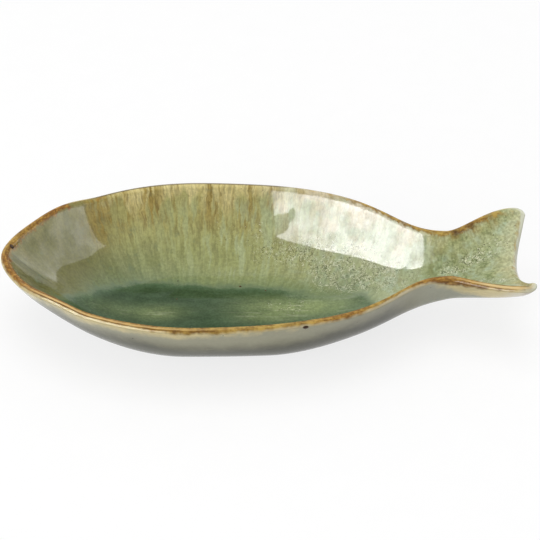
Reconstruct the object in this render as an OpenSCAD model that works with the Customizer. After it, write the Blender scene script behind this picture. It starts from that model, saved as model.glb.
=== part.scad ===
// Fish shaped serving platter of glazed stoneware.
// The shell is lofted over bowed cross sections, from the blunt nose to the forked
// tail. X runs from nose to tail, Y runs across, and Z runs up from the table.
// All skins, clay and glaze, come from one rule, so each coat lies on its clay.

/* [Outline] */
// Length from the nose to the tips of the tail
dish_l = 300; // [260:1:360]
// Width of the body at its widest place
body_w = 141; // [125:1:165]
// Distance of the widest place from the nose
widest_at = 109; // [98:1:125]
// Width across the blunt front of the nose
nose_w = 18.5; // [15:0.5:28]
// How far the front of the nose bows forward
nose_bow = 1.6; // [1.2:0.1:3.5]
// Length over which the nose bow dies out along the head
nose_run = 40; // [30:1:55]
// Width of the narrow neck before the tail
neck_w = 47.5; // [38:0.5:58]
// Distance of the neck from the tips of the tail
neck_at = 46.5; // [42:0.5:56]
// Width across the two lobes of the tail
tail_w = 78.5; // [66:0.5:90]
// Corner radius of the tail lobes
lobe_r = 6.25; // [6:0.25:9]
// Depth of the fork between the lobes
fork_d = 7; // [4:0.25:14]
// Fullness of the head beside the nose
head_full = 0.34; // [0.22:0.01:0.45]
// Fullness of the head before the widest place
cheek_full = 0.41; // [0.3:0.01:0.55]
// Fullness of the flank behind the widest place
flank_full = 0.83; // [0.6:0.01:0.9]
// Fullness of the flank before the neck
waist_full = 0.26; // [0.15:0.01:0.4]
// Fullness of the curve from the neck into the lobes
fin_full = 0.19; // [0.15:0.01:0.4]
// Fullness of the lobes before their corners
lobe_full = 0.44; // [0.35:0.01:0.7]

/* [Heights] */
// Height of the lip along the body
rim_h = 47; // [40:0.5:56]
// Height of the lip at the neck
neck_h = 46; // [40:0.5:56]
// Height of the lip at the tips of the tail
tail_h = 51; // [44:0.5:60]
// Height of the lip in the fork
fork_h = 39.5; // [36:0.5:46]
// Rise of the lip at the brow
brow_rise = 2.2; // [0:0.1:4]
// Distance of the brow from the nose
brow_at = 32; // [26:0.5:40]
// Half length of the brow
brow_l = 20; // [14:0.5:24]
// Height of the trough at the neck, inside
neck_floor_h = 26; // [21:0.5:31]

/* [Floor] */
// Length of the flat floor of the well
floor_l = 88; // [74:1:102]
// Width of the flat floor of the well
floor_w = 55; // [46:0.5:62]
// Distance of the flat floor from the nose
floor_at = 83; // [72:0.5:92]
// Length over which the flat floor narrows to nothing at its ends
floor_fade = 60; // [50:1:70]

/* [Walls] */
// Thickness of the clay wall at the lip
wall_t = 3.8; // [3:0.1:5]
// Thickness of the clay floor
floor_t = 4.6; // [3.5:0.1:7]
// Height of the rounded part of the lip
lip_h = 2; // [1.5:0.1:3.5]
// Curve of the walls at the nose, higher is rounder
nose_curve = 3.15; // [2.2:0.05:3.6]
// Curve of the walls along the body
body_curve = 2.15; // [1.8:0.05:3]
// Curve of the outside of the walls at the neck
neck_curve = 3.2; // [2.6:0.05:3.8]
// Curve of the inside of the walls at the neck
trough_curve = 2.1; // [1.8:0.05:3]
// Curve of the inside of the walls at the end of the tail
tail_curve = 1.5; // [1.3:0.05:2.4]
// Curve of the outside of the walls at the end of the tail
fin_curve = 2.9; // [2.4:0.05:4]

/* [Glaze] */
// Thickness of the coats of glaze
glaze_t = 0.5; // [0.3:0.05:0.8]
// Thickness of the pooled glaze on the floor
pool_t = 1.2; // [0.6:0.1:2]
// How far the pool stays in from the edge of the flat floor
pool_set = 4; // [3:0.5:8]

/* [Foot] */
// Height of the foot ring
foot_h = 2.4; // [1.6:0.1:4]
// Width of the foot ring's band
foot_band = 5; // [3.5:0.25:8]
// How far the foot ring stands in from the edge of the flat floor
foot_set = 3; // [2:0.25:6]

/* [Hidden] */

// Cells along the head, flank, fin and lobe corner, and across half a section
HEAD_N = 15;
FLANK_N = 14;
FIN_N = 9;
LOBE_N = 4;
HALF_N = 9;
// Cells of each half section that lie on the flat floor, and rows over the lip
FLAT_N = 2;
LIP_N = 4;
// Least share of a half section that the floor cells take
FLAT_MIN = 0.22;
// Pull of a curve's handles for a round corner
ROUND = 0.5523;
// Points round the foot ring and the pool
OVAL_N = 64;

LAST = HEAD_N + FLANK_N + FIN_N + LOBE_N;
ACROSS = 2 * HALF_N;
ROW = ACROSS + 1;
RIM_N = 2 * (LAST + ACROSS);

nose_x = -dish_l / 2;
tail_x = dish_l / 2;
neck_x = tail_x - neck_at;
floor_x1 = nose_x + floor_at;
floor_x2 = floor_x1 + floor_l;
floor_x = (floor_x1 + floor_x2) / 2;

// A skin is [inset from the outside of the dish, depth below the inside of the dish]
rim_t = wall_t + 2 * glaze_t;
full_t = floor_t + 2 * glaze_t;
floor_z = foot_h + floor_t + glaze_t;
INSIDE = [rim_t, 0];
CLAY_IN = [rim_t - glaze_t, glaze_t];
CLAY_OUT = [glaze_t, full_t - glaze_t];
OUTSIDE = [0, full_t];

function unit(v) = v / norm(v);
function clamp(v) = min(1, max(0, v));
function ease(a, b, v) = let (s = clamp((v - a) / (b - a))) s * s * (3 - 2 * s);
function bezier(p, t) =
    let (u = 1 - t)
    u * u * u * p[0] + 3 * u * u * t * p[1] + 3 * u * t * t * p[2] + t * t * t * p[3];

// Side of the outline: nose corner, widest place, neck, lobe crest and lobe end
function side_curves(q) =
    let (
        run = unit([2 * nose_bow, nose_w / 2]),
        nose = [nose_x + nose_bow, nose_w / 2] + q * [run.y, -run.x],
        wide = [nose_x + widest_at, body_w / 2 - q],
        neck = [neck_x, neck_w / 2 - q],
        crest = [tail_x - lobe_r, tail_w / 2 - q],
        tip = [tail_x - q, tail_w / 2 - lobe_r],
        head_l = wide.x - nose.x,
        flank_l = neck.x - wide.x,
        fin_l = crest.x - neck.x
    )
    [
        [nose, nose + run * head_full * head_l, wide - [cheek_full * head_l, 0], wide],
        [wide, wide + [flank_full * flank_l, 0], neck - [waist_full * flank_l, 0], neck],
        [neck, neck + [fin_full * fin_l, 0], crest - [lobe_full * fin_l, 0], crest],
        [crest, crest + [ROUND * (tip.x - crest.x), 0], tip + [0, ROUND * (crest.y - tip.y)], tip]
    ];
function side(q) =
    let (c = side_curves(q))
    [
        for (i = [0 : HEAD_N - 1]) bezier(c[0], i / HEAD_N),
        for (i = [0 : FLANK_N - 1]) bezier(c[1], i / FLANK_N),
        for (i = [0 : FIN_N - 1]) bezier(c[2], i / FIN_N),
        for (i = [0 : LOBE_N]) bezier(c[3], i / LOBE_N)
    ];

// Height of the lip at a place along the dish
function lip_z(x) =
    rim_h
    + (neck_h - rim_h) * ease(floor_x2, neck_x, x)
    + (tail_h - neck_h) * ease(neck_x, tail_x - lobe_r, x)
    + brow_rise * pow(clamp(1 - pow((x - nose_x - brow_at) / brow_l, 2)), 2);

// Height of the keel, the middle line of a skin that lies the given depth down
function keel_z(x, x_nose, x_fork, depth) =
    let (
        low = floor_z - depth,
        neck_z = neck_floor_h - depth,
        nose_rise = lip_z(x_nose) - lip_h - low,
        fork_z = fork_h - lip_h - depth * (1 - lip_h / fork_h),
        fork_slope = (fork_z - neck_z) / (x_fork - neck_x),
        a = clamp((floor_x1 - x) / (floor_x1 - x_nose)),
        b = clamp((x - floor_x2) / (neck_x - floor_x2)),
        climb = (3 - 2 * b) * b * b * (neck_z - low)
            + (b - 1) * b * b * fork_slope * (neck_x - floor_x2)
    )
    low + nose_rise * a * a + climb + fork_slope * max(0, x - neck_x);

// Half width of the flat floor, and the curve of the walls, along the dish
function flat_w(x) =
    floor_w / 2 * ease(floor_x1 - floor_fade, floor_x1 + floor_fade / 3, x)
    * (1 - ease(floor_x2 - floor_fade / 3, floor_x2 + floor_fade, x));
function wall_curve(x, x_nose, x_fork, depth) =
    let (
        out = depth / full_t,
        waist_curve = trough_curve + (neck_curve - trough_curve) * out,
        end_curve = tail_curve + (fin_curve - tail_curve) * out
    )
    nose_curve
    + (body_curve - nose_curve) * ease(x_nose, floor_x1, x)
    + (waist_curve - body_curve) * ease(floor_x2, neck_x, x)
    + (end_curve - waist_curve) * ease(neck_x, x_fork, x);

// Place of line j of a half section, as a share of its half width
function share(flat, j) =
    let (e = max(flat, FLAT_MIN), a = abs(j))
    sign(j) * (a <= FLAT_N ? e * a / FLAT_N
        : e + (1 - e) * pow((a - FLAT_N) / (HALF_N - FLAT_N), 0.9));

// One bowed cross section of a skin
function section(edge, bow, x_nose, x_fork, depth) =
    let (
        x_keel = edge.x - bow,
        low = keel_z(x_keel, x_nose, x_fork, depth),
        high = lip_z(edge.x) - lip_h,
        flat = min(0.9, flat_w(x_keel) / edge.y),
        curve = wall_curve(x_keel, x_nose, x_fork, depth)
    )
    [
        for (j = [-HALF_N : HALF_N])
            let (e = share(flat, j), g = clamp((abs(e) - flat) / (1 - flat)))
            [x_keel + bow * e * e, edge.y * e, low + (high - low) * pow(g, curve)]
    ];

// A whole skin, as rows of points from nose to tail
function skin(s) =
    let (
        edge = side(s[0]),
        x_end = edge[LAST].x,
        x_fork = x_end - fork_d,
        x_nose = edge[0].x - nose_bow
    )
    [
        for (p = edge)
            let (
                head = clamp(1 - (p.x - edge[0].x) / nose_run),
                fin = clamp((p.x - neck_x) / (x_end - neck_x)),
                bow = nose_bow * pow(head, 3) + fork_d * fin * fin
            )
            section(p, bow, x_nose, x_fork, s[1])
    ];

// The edge of a skin, once round: nose, far side, fork and near side
function edge_loop(g) =
    [
        for (j = [0 : ACROSS]) g[0][j],
        for (i = [1 : LAST]) g[i][ACROSS],
        for (j = [ACROSS - 1 : -1 : 0]) g[LAST][j],
        for (i = [LAST - 1 : -1 : 1]) g[i][0]
    ];
edge_index =
    [
        for (j = [0 : ACROSS]) j,
        for (i = [1 : LAST]) i * ROW + ACROSS,
        for (j = [ACROSS - 1 : -1 : 0]) LAST * ROW + j,
        for (i = [LAST - 1 : -1 : 1]) i * ROW
    ];

// Row k of a rounded lip that closes two edges, from the inner to the outer one
function lip_row(inner, outer, rise, k) =
    let (a = 180 * k / LIP_N)
    [
        for (m = [0 : RIM_N - 1])
            let (
                reach = (outer[m] - inner[m]) / 2,
                along = unit(reach),
                up = unit([0, 0, 1] - along * along.z)
            )
            (inner[m] + outer[m]) / 2 - reach * cos(a) + up * rise * sin(a)
    ];

function flat_list(rows) = [for (r = rows) for (p = r) p];
function quad(a, b, c, d) = [[a, b, c], [a, c, d]];
function turn(f) = [for (t = f) [t[2], t[1], t[0]]];

// Faces of a skin seen from above, split the same way on both sides of the keel
function skin_faces(first) =
    [
        for (i = [0 : LAST - 1]) for (j = [0 : ACROSS - 1])
            let (
                a = first + i * ROW + j,
                b = a + 1,
                c = b + ROW,
                d = a + ROW
            )
            each j < HALF_N ? quad(d, a, b, c) : quad(a, b, c, d)
    ];

// Faces of the strip between two closed rows of point numbers
function strip_faces(r, s) =
    [
        for (m = [0 : RIM_N - 1])
            let (n = (m + 1) % RIM_N)
            each quad(r[m], s[m], s[n], r[n])
    ];
function row_index(first) = [for (m = [0 : RIM_N - 1]) first + m];
function edge_of(first) = [for (e = edge_index) first + e];

// A coat between an upper and a lower skin
module coat(upper, lower) {
    count = (LAST + 1) * ROW;
    polyhedron(
        points = concat(flat_list(upper), flat_list(lower)),
        faces = concat(
            strip_faces(edge_of(0), edge_of(count)),
            skin_faces(0),
            turn(skin_faces(count))
        )
    );
}

module oval(l, w) {
    polygon([for (k = [0 : OVAL_N - 1]) [l / 2 * cos(360 * k / OVAL_N), w / 2 * sin(360 * k / OVAL_N)]]);
}

module foot_outline() {
    translate([floor_x, 0])
        difference() {
            oval(floor_l - 2 * foot_set, floor_w - 2 * foot_set);
            oval(floor_l - 2 * foot_set - 2 * foot_band, floor_w - 2 * foot_set - 2 * foot_band);
        }
}

// The stoneware shell, with its lip rounded over
module clay_body() {
    upper = skin(CLAY_IN);
    lower = skin(CLAY_OUT);
    inner = edge_loop(upper);
    outer = edge_loop(lower);
    count = (LAST + 1) * ROW;
    lips = [for (k = [1 : LIP_N - 1]) lip_row(inner, outer, lip_h - glaze_t, k)];
    rows = [
        edge_of(0),
        for (k = [0 : LIP_N - 2]) row_index(2 * count + k * RIM_N),
        edge_of(count)
    ];
    color([0.74, 0.68, 0.57])
        polyhedron(
            points = concat(flat_list(upper), flat_list(lower), flat_list(lips)),
            faces = concat(
                skin_faces(0),
                turn(skin_faces(count)),
                [for (k = [0 : LIP_N - 1]) each strip_faces(rows[k], rows[k + 1])]
            )
        );
}

// The unglazed ring that the dish stands on
module foot_ring() {
    color([0.78, 0.71, 0.60])
        linear_extrude(height = foot_h)
            foot_outline();
}

// The green coat inside the well and the tail
module inner_glaze() {
    color([0.53, 0.60, 0.44])
        coat(skin(INSIDE), skin(CLAY_IN));
}

// The cream coat outside, left off where the foot ring is joined to the clay
module outer_glaze() {
    color([0.90, 0.88, 0.80])
        difference() {
            coat(skin(CLAY_OUT), skin(OUTSIDE));
            linear_extrude(height = foot_h + glaze_t)
                foot_outline();
        }
}

// The brown coat over the lip
module rim_glaze() {
    in_face = edge_loop(skin(INSIDE));
    in_clay = edge_loop(skin(CLAY_IN));
    out_clay = edge_loop(skin(CLAY_OUT));
    out_face = edge_loop(skin(OUTSIDE));
    rows = [
        for (k = [0 : LIP_N]) lip_row(in_face, out_face, lip_h, k),
        for (k = [LIP_N : -1 : 0]) lip_row(in_clay, out_clay, lip_h - glaze_t, k)
    ];
    total = len(rows);
    color([0.66, 0.42, 0.16])
        polyhedron(
            points = flat_list(rows),
            faces = [
                for (k = [0 : total - 1])
                    each strip_faces(row_index(k * RIM_N), row_index(((k + 1) % total) * RIM_N))
            ]
        );
}

// The dark glaze that ran together on the floor
module pool_glaze() {
    l = floor_l - 2 * pool_set;
    w = floor_w - 2 * pool_set;
    steps = [[1, 0], [0.97, 0.5], [0.9, 0.85], [0.75, 1]];
    last = len(steps) - 1;
    color([0.22, 0.34, 0.28])
        translate([floor_x, 0, floor_z])
            polyhedron(
                points = [
                    for (s = steps) for (k = [0 : OVAL_N - 1])
                        let (a = 360 * k / OVAL_N)
                        [s[0] * l / 2 * cos(a), s[0] * w / 2 * sin(a), s[1] * pool_t]
                ],
                faces = [
                    [for (k = [0 : OVAL_N - 1]) k],
                    [for (k = [OVAL_N - 1 : -1 : 0]) last * OVAL_N + k],
                    for (r = [0 : last - 1]) for (k = [0 : OVAL_N - 1])
                        let (
                            n = (k + 1) % OVAL_N,
                            a = r * OVAL_N,
                            b = a + OVAL_N
                        )
                        each quad(b + k, b + n, a + n, a + k)
                ]
            );
}

clay_body();
foot_ring();
inner_glaze();
outer_glaze();
rim_glaze();
pool_glaze();
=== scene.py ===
"""Fish shaped stoneware platter: glaze, clay and studio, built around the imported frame.

Sizes are in millimetres, as in the part's source, and meshes are written in metres.
"""

from __future__ import annotations

import logging
import math
from dataclasses import dataclass, field
from enum import Enum
from typing import Union

import bpy
import numpy as np
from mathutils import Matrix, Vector

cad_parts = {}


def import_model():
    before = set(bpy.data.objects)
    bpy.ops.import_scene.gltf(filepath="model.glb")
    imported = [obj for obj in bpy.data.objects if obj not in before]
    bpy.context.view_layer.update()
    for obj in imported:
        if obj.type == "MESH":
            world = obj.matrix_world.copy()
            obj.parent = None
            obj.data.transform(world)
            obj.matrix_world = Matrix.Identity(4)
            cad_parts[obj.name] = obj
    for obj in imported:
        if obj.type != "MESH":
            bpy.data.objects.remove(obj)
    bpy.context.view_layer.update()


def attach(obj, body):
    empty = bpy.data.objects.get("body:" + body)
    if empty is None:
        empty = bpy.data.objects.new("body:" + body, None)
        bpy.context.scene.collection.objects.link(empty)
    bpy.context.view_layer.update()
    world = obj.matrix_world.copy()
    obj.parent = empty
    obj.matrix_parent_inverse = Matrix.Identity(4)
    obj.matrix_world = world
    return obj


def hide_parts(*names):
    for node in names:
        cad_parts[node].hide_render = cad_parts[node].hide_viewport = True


LOG = logging.getLogger("platter")
MM = 0.001
FLOW_MAP = "flow"
VALUE = "NodeSocketFloat"
COLOUR = "NodeSocketColor"
ORIGIN = (0.0, 0.0, 0.0)
WHITE = (1.0, 1.0, 1.0, 1.0)
GLAZE_IOR = 1.5
# Handle length of a quarter circle that is drawn as one cubic curve.
ROUND_HANDLE = 0.5523
# How many points are matched with the rim at a time.
BATCH = 4000
# The marks that the iron edge reads, with their values where a piece has none.
IRON_MARKS = {"Iron": 1.0, "Reach": 0.3, "Drip": 0.25, "Burnt": 0.0, "Stain": 0.0}
Colour = tuple[float, float, float]
Table = tuple[tuple[float, float], ...]


def clamp(value: np.ndarray) -> np.ndarray:
    """The value held between 0 and 1."""
    return np.clip(value, 0.0, 1.0)


def ease(low: float, high: float, value: np.ndarray) -> np.ndarray:
    """A smooth step from 0 at low to 1 at high."""
    share = clamp((np.asarray(value, float) - low) / (high - low))
    return share * share * (3 - 2 * share)


def bezier(handles: list[np.ndarray], steps: np.ndarray) -> np.ndarray:
    """Points of a cubic curve.

    Args:
        handles: Its four handles.
        steps: The places along it, from 0 to 1.

    Returns:
        One point for each step.
    """
    t = steps[:, None]
    u = 1 - t
    p = [np.asarray(h, float) for h in handles]
    return u**3 * p[0] + 3 * u * u * t * p[1] + 3 * u * t * t * p[2] + t**3 * p[3]


def unit(vectors: np.ndarray) -> np.ndarray:
    """Vectors at a length of 1."""
    return vectors / np.maximum(np.linalg.norm(vectors, axis=1), 1e-12)[:, None]


def link(name: str, data: bpy.types.ID) -> bpy.types.Object:
    """Puts an object with that data in the scene."""
    made = bpy.data.objects.new(name, data)
    bpy.context.scene.collection.objects.link(made)
    return made


def rgba(colour: Colour) -> tuple[float, float, float, float]:
    """A colour with full opacity."""
    return (*colour, 1.0)


class Layer(Enum):
    """The four skins of the shell, from the well to the outside."""

    INSIDE = "inside"
    CLAY_IN = "clay_in"
    CLAY_OUT = "clay_out"
    OUTSIDE = "outside"


@dataclass(frozen=True)
class Cells:
    """How many cells a skin has along each stretch of its side and across half a section."""

    head: int = 72
    flank: int = 76
    fin: int = 48
    lobe: int = 12
    half: int = 58
    flat: int = 14
    lip: int = 14


@dataclass(frozen=True)
class DishForm:
    """The sizes of the platter and the rule that all its skins follow."""

    dish_l: float = 300.0
    body_w: float = 141.0
    widest_at: float = 109.0
    nose_w: float = 18.5
    nose_bow: float = 1.6
    nose_run: float = 40.0
    neck_w: float = 47.5
    neck_at: float = 46.5
    tail_w: float = 78.5
    lobe_r: float = 6.25
    fork_d: float = 7.0
    head_full: float = 0.34
    cheek_full: float = 0.41
    flank_full: float = 0.83
    waist_full: float = 0.26
    fin_full: float = 0.19
    lobe_full: float = 0.44
    rim_h: float = 47.0
    neck_h: float = 46.0
    tail_h: float = 51.0
    fork_h: float = 39.5
    brow_rise: float = 2.2
    brow_at: float = 32.0
    brow_l: float = 20.0
    neck_floor_h: float = 26.0
    floor_l: float = 88.0
    floor_w: float = 55.0
    floor_at: float = 83.0
    floor_fade: float = 60.0
    wall_t: float = 3.8
    floor_t: float = 4.6
    lip_h: float = 2.0
    nose_curve: float = 3.15
    body_curve: float = 2.15
    neck_curve: float = 3.2
    trough_curve: float = 2.1
    tail_curve: float = 1.5
    fin_curve: float = 2.9
    glaze_t: float = 0.5
    foot_h: float = 2.4
    hand_wave: float = 0.14
    least_flat: float = 0.22
    most_flat: float = 0.9
    crowding: float = 0.9

    @property
    def nose_x(self) -> float:
        """Place of the nose along the dish."""
        return -self.dish_l / 2

    @property
    def tail_x(self) -> float:
        """Place of the tips of the tail."""
        return self.dish_l / 2

    @property
    def neck_x(self) -> float:
        """Place of the neck."""
        return self.tail_x - self.neck_at

    @property
    def floor_ends(self) -> tuple[float, float]:
        """Both ends of the flat floor."""
        start = self.nose_x + self.floor_at
        return start, start + self.floor_l

    @property
    def floor_x(self) -> float:
        """Middle of the flat floor."""
        return sum(self.floor_ends) / 2

    @property
    def floor_z(self) -> float:
        """Height of the flat floor, inside."""
        return self.foot_h + self.floor_t + self.glaze_t

    def offsets(self, layer: Layer) -> tuple[float, float]:
        """A skin's inset from the outside of the dish, and its depth below the inside."""
        rim_t = self.wall_t + 2 * self.glaze_t
        full_t = self.floor_t + 2 * self.glaze_t
        return {
            Layer.INSIDE: (rim_t, 0.0),
            Layer.CLAY_IN: (rim_t - self.glaze_t, self.glaze_t),
            Layer.CLAY_OUT: (self.glaze_t, full_t - self.glaze_t),
            Layer.OUTSIDE: (0.0, full_t),
        }[layer]

    def side(self, inset: float, cells: Cells) -> np.ndarray:
        """The side of the outline, from the nose corner to the end of the lobe.

        Args:
            inset: How far the line lies inside the outline.
            cells: How finely it is cut.

        Returns:
            Points in plan, one for each section.
        """
        run = np.array([2 * self.nose_bow, self.nose_w / 2])
        run = run / np.linalg.norm(run)
        nose = np.array([self.nose_x + self.nose_bow, self.nose_w / 2])
        nose = nose + inset * np.array([run[1], -run[0]])
        wide = np.array([self.nose_x + self.widest_at, self.body_w / 2 - inset])
        neck = np.array([self.neck_x, self.neck_w / 2 - inset])
        crest = np.array([self.tail_x - self.lobe_r, self.tail_w / 2 - inset])
        tip = np.array([self.tail_x - inset, self.tail_w / 2 - self.lobe_r])
        ahead = np.array([1.0, 0.0])
        aside = np.array([0.0, 1.0])
        head, flank, fin = wide[0] - nose[0], neck[0] - wide[0], crest[0] - neck[0]
        bend = ROUND_HANDLE
        stretches = [
            (cells.head, nose, run * self.head_full * head, ahead * self.cheek_full * head, wide),
            (cells.flank, wide, ahead * self.flank_full * flank, ahead * self.waist_full * flank, neck),
            (cells.fin, neck, ahead * self.fin_full * fin, ahead * self.lobe_full * fin, crest),
            (cells.lobe, crest, ahead * bend * (tip[0] - crest[0]), -aside * bend * (crest[1] - tip[1]), tip),
        ]
        rows = [bezier([a, a + b, d - c, d], np.arange(count) / count) for count, a, b, c, d in stretches]
        return np.vstack([*rows, tip[None]])

    def lip_z(self, x: np.ndarray) -> np.ndarray:
        """Height of the lip at places along the dish."""
        brow = clamp(1 - ((x - self.nose_x - self.brow_at) / self.brow_l) ** 2) ** 2
        fall = (self.neck_h - self.rim_h) * ease(self.floor_ends[1], self.neck_x, x)
        lift = (self.tail_h - self.neck_h) * ease(self.neck_x, self.tail_x - self.lobe_r, x)
        return self.rim_h + fall + lift + self.brow_rise * brow

    def keel_z(self, x: np.ndarray, x_nose: float, x_fork: float, depth: float) -> np.ndarray:
        """Height of the middle line of a skin.

        Args:
            x: Places along the dish.
            x_nose: Where the skin's middle line starts.
            x_fork: Where it ends.
            depth: How deep the skin lies below the inside.

        Returns:
            One height for each place.
        """
        start, end = self.floor_ends
        low, neck_z = self.floor_z - depth, self.neck_floor_h - depth
        nose_rise = float(self.lip_z(np.array(x_nose))) - self.lip_h - low
        fork_z = self.fork_h - self.lip_h - depth * (1 - self.lip_h / self.fork_h)
        slope = (fork_z - neck_z) / (x_fork - self.neck_x)
        a = clamp((start - x) / (start - x_nose))
        b = clamp((x - end) / (self.neck_x - end))
        climb = (3 - 2 * b) * b * b * (neck_z - low) + (b - 1) * b * b * slope * (self.neck_x - end)
        return low + nose_rise * a * a + climb + slope * np.maximum(0, x - self.neck_x)

    def flat_half(self, x: np.ndarray) -> np.ndarray:
        """Half width of the flat floor at places along the dish."""
        start, end = self.floor_ends
        fade = self.floor_fade
        grow = ease(start - fade, start + fade / 3, x)
        return self.floor_w / 2 * grow * (1 - ease(end - fade / 3, end + fade, x))

    def wall_curve(self, x: np.ndarray, x_nose: float, x_fork: float, depth: float) -> np.ndarray:
        """Power of the curve of the walls at places along a skin that lies that deep."""
        start, end = self.floor_ends
        share = depth / (self.floor_t + 2 * self.glaze_t)
        waist = self.trough_curve + (self.neck_curve - self.trough_curve) * share
        fin = self.tail_curve + (self.fin_curve - self.tail_curve) * share
        power = self.nose_curve + (self.body_curve - self.nose_curve) * ease(x_nose, start, x)
        power = power + (waist - self.body_curve) * ease(end, self.neck_x, x)
        return power + (fin - waist) * ease(self.neck_x, x_fork, x)

    def skin(self, layer: Layer, cells: Cells) -> np.ndarray:
        """A whole skin as a grid of points.

        Args:
            layer: Which of the four skins.
            cells: How finely it is cut.

        Returns:
            Points in rows from nose to tail, each row from the near to the far side.
        """
        inset, depth = self.offsets(layer)
        edge = self.side(inset, cells)
        ex, ey = edge[:, 0], edge[:, 1]
        x_end, x_nose = ex[-1], ex[0] - self.nose_bow
        x_fork = x_end - self.fork_d
        head = clamp(1 - (ex - ex[0]) / self.nose_run)
        fin = clamp((ex - self.neck_x) / (x_end - self.neck_x))
        bow = self.nose_bow * head**3 + self.fork_d * fin**2
        keel = ex - bow
        low = self.keel_z(keel, x_nose, x_fork, depth)[:, None]
        high = (self.lip_z(ex) - self.lip_h)[:, None]
        flat = np.minimum(self.most_flat, self.flat_half(keel) / ey)[:, None]
        power = self.wall_curve(keel, x_nose, x_fork, depth)[:, None]
        line = np.arange(-cells.half, cells.half + 1)
        count = np.abs(line)
        inner = np.maximum(flat, self.least_flat)
        climb = np.maximum(0, (count - cells.flat) / (cells.half - cells.flat)) ** self.crowding
        share = np.where(count <= cells.flat, inner * count / cells.flat, inner + (1 - inner) * climb)
        share = share * np.sign(line)
        wall = clamp((np.abs(share) - flat) / (1 - flat)) ** power
        x = keel[:, None] + bow[:, None] * share**2
        return np.stack([x, ey[:, None] * share, low + (high - low) * wall], -1)

    def lip_rows(self, inner: np.ndarray, outer: np.ndarray, rise: float, count: int) -> np.ndarray:
        """Rows of the rounded lip that closes two edges.

        Args:
            inner: The edge on the side of the well.
            outer: The edge on the outside.
            rise: How high the lip stands over them.
            count: How many cells it has from one to the other.

        Returns:
            Rows of points, the first on the inner edge and the last on the outer one.
        """
        reach = (outer - inner) / 2
        along = unit(reach)
        up = unit(np.array([0.0, 0.0, 1.0]) - along * along[:, 2:3])
        angles = np.linspace(0, math.pi, count + 1)
        middle = (inner + outer) / 2
        return np.array([middle - reach * math.cos(a) + up * rise * math.sin(a) for a in angles])

    def hand_made(self, points: np.ndarray) -> np.ndarray:
        """Points moved by the slow unevenness of a dish that was shaped by hand."""
        x, y, z = points[..., 0], points[..., 1], points[..., 2]
        free = ease(self.foot_h + 6, self.foot_h + 24, z) * self.hand_wave
        up = np.sin(x / 13 + 0.7) + 0.8 * np.sin(x / 7.3 - y / 31 + 2.1) + 0.5 * np.sin(y / 9 + x / 40)
        out = np.sin(x / 17 - 1.1) + 0.7 * np.sin(x / 8.1 + z / 15 + 0.4)
        moved = points.copy()
        moved[..., 2] += free * 0.5 * up
        moved[..., 1] += free * 0.6 * out * np.tanh(y / 12)
        return moved


class MeshMaker:
    """Gathers the faces of one piece and writes them as a mesh."""

    def __init__(self, name: str) -> None:
        """Starts an empty piece with that name."""
        self.name = name
        self.points: list[np.ndarray] = []
        self.quads: list[np.ndarray] = []
        self.normals: list[np.ndarray | None] = []
        self.flow: list[np.ndarray | None] = []
        self.marks: dict[str, np.ndarray] = {}
        self.count = 0

    def add_points(self, points: np.ndarray) -> int:
        """Adds points and returns the number of the first one."""
        first = self.count
        flat = points.reshape(-1, 3)
        self.points.append(flat)
        self.count += len(flat)
        return first

    def add_quads(
        self, quads: np.ndarray, normals: np.ndarray | None = None, flow: np.ndarray | None = None
    ) -> None:
        """Adds faces.

        Args:
            quads: Four point numbers for each face.
            normals: Corner normals, or None for flat faces.
            flow: Corner places on the flow map, in centimetres, or None.
        """
        self.quads.append(quads)
        self.normals.append(normals)
        self.flow.append(flow)

    def mark(self, name: str, values: np.ndarray) -> None:
        """Keeps one number for each point under a name that materials can read."""
        self.marks[name] = values

    def build(self, material: bpy.types.Material) -> bpy.types.Object:
        """Makes the object, in metres, with its normals, flow map and marks."""
        points = np.vstack(self.points)
        quads = np.vstack(self.quads)
        mesh = bpy.data.meshes.new(self.name)
        mesh.from_pydata((points * MM).tolist(), [], quads.tolist())
        mesh.materials.append(material)
        corners, flow = [], []
        for part, normals, places in zip(self.quads, self.normals, self.flow):
            if normals is None:
                normals = np.repeat(quad_normals(points, part)[:, None], 4, axis=1)
            corners.append(normals.reshape(-1, 3))
            flow.append(np.zeros((len(part) * 4, 2)) if places is None else places.reshape(-1, 2))
        layer = mesh.uv_layers.new(name=FLOW_MAP)
        layer.uv.foreach_set("vector", np.vstack(flow).astype(np.float32).ravel())
        for name, values in self.marks.items():
            full = np.zeros(len(points), np.float32)
            full[: len(values)] = values
            mesh.attributes.new(name, "FLOAT", "POINT").data.foreach_set("value", full)
        mesh.polygons.foreach_set("use_smooth", np.ones(len(quads), bool))
        mesh.normals_split_custom_set(np.vstack(corners).astype(np.float32))
        mesh.update()
        return link(self.name, mesh)


def quad_normals(points: np.ndarray, quads: np.ndarray, weighted: bool = False) -> np.ndarray:
    """Normals of faces, which grow with their area if they are weighted."""
    a, b, c, d = (points[quads[:, k]] for k in range(4))
    normal = np.cross(c - a, d - b)
    return normal if weighted else unit(normal)


def point_normals(points: np.ndarray, quads: np.ndarray) -> np.ndarray:
    """Smooth normals of points, weighted by the area of their faces."""
    total = np.zeros_like(points)
    normal = quad_normals(points, quads, weighted=True)
    for k in range(4):
        np.add.at(total, quads[:, k], normal)
    return unit(total)


def grid_quads(rows: int, columns: int, first: int = 0, upward: bool = True) -> np.ndarray:
    """Faces of a grid of points.

    Args:
        rows: Rows of points, from nose to tail.
        columns: Points in a row, from the near to the far side.
        first: Number of the first point.
        upward: Whether the faces look up or down.

    Returns:
        Four point numbers for each face.
    """
    at = first + np.arange(rows * columns).reshape(rows, columns)
    a, b, c, d = at[:-1, :-1], at[:-1, 1:], at[1:, 1:], at[1:, :-1]
    order = (a, d, c, b) if upward else (a, b, c, d)
    return np.stack(order, -1).reshape(-1, 4)


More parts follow.
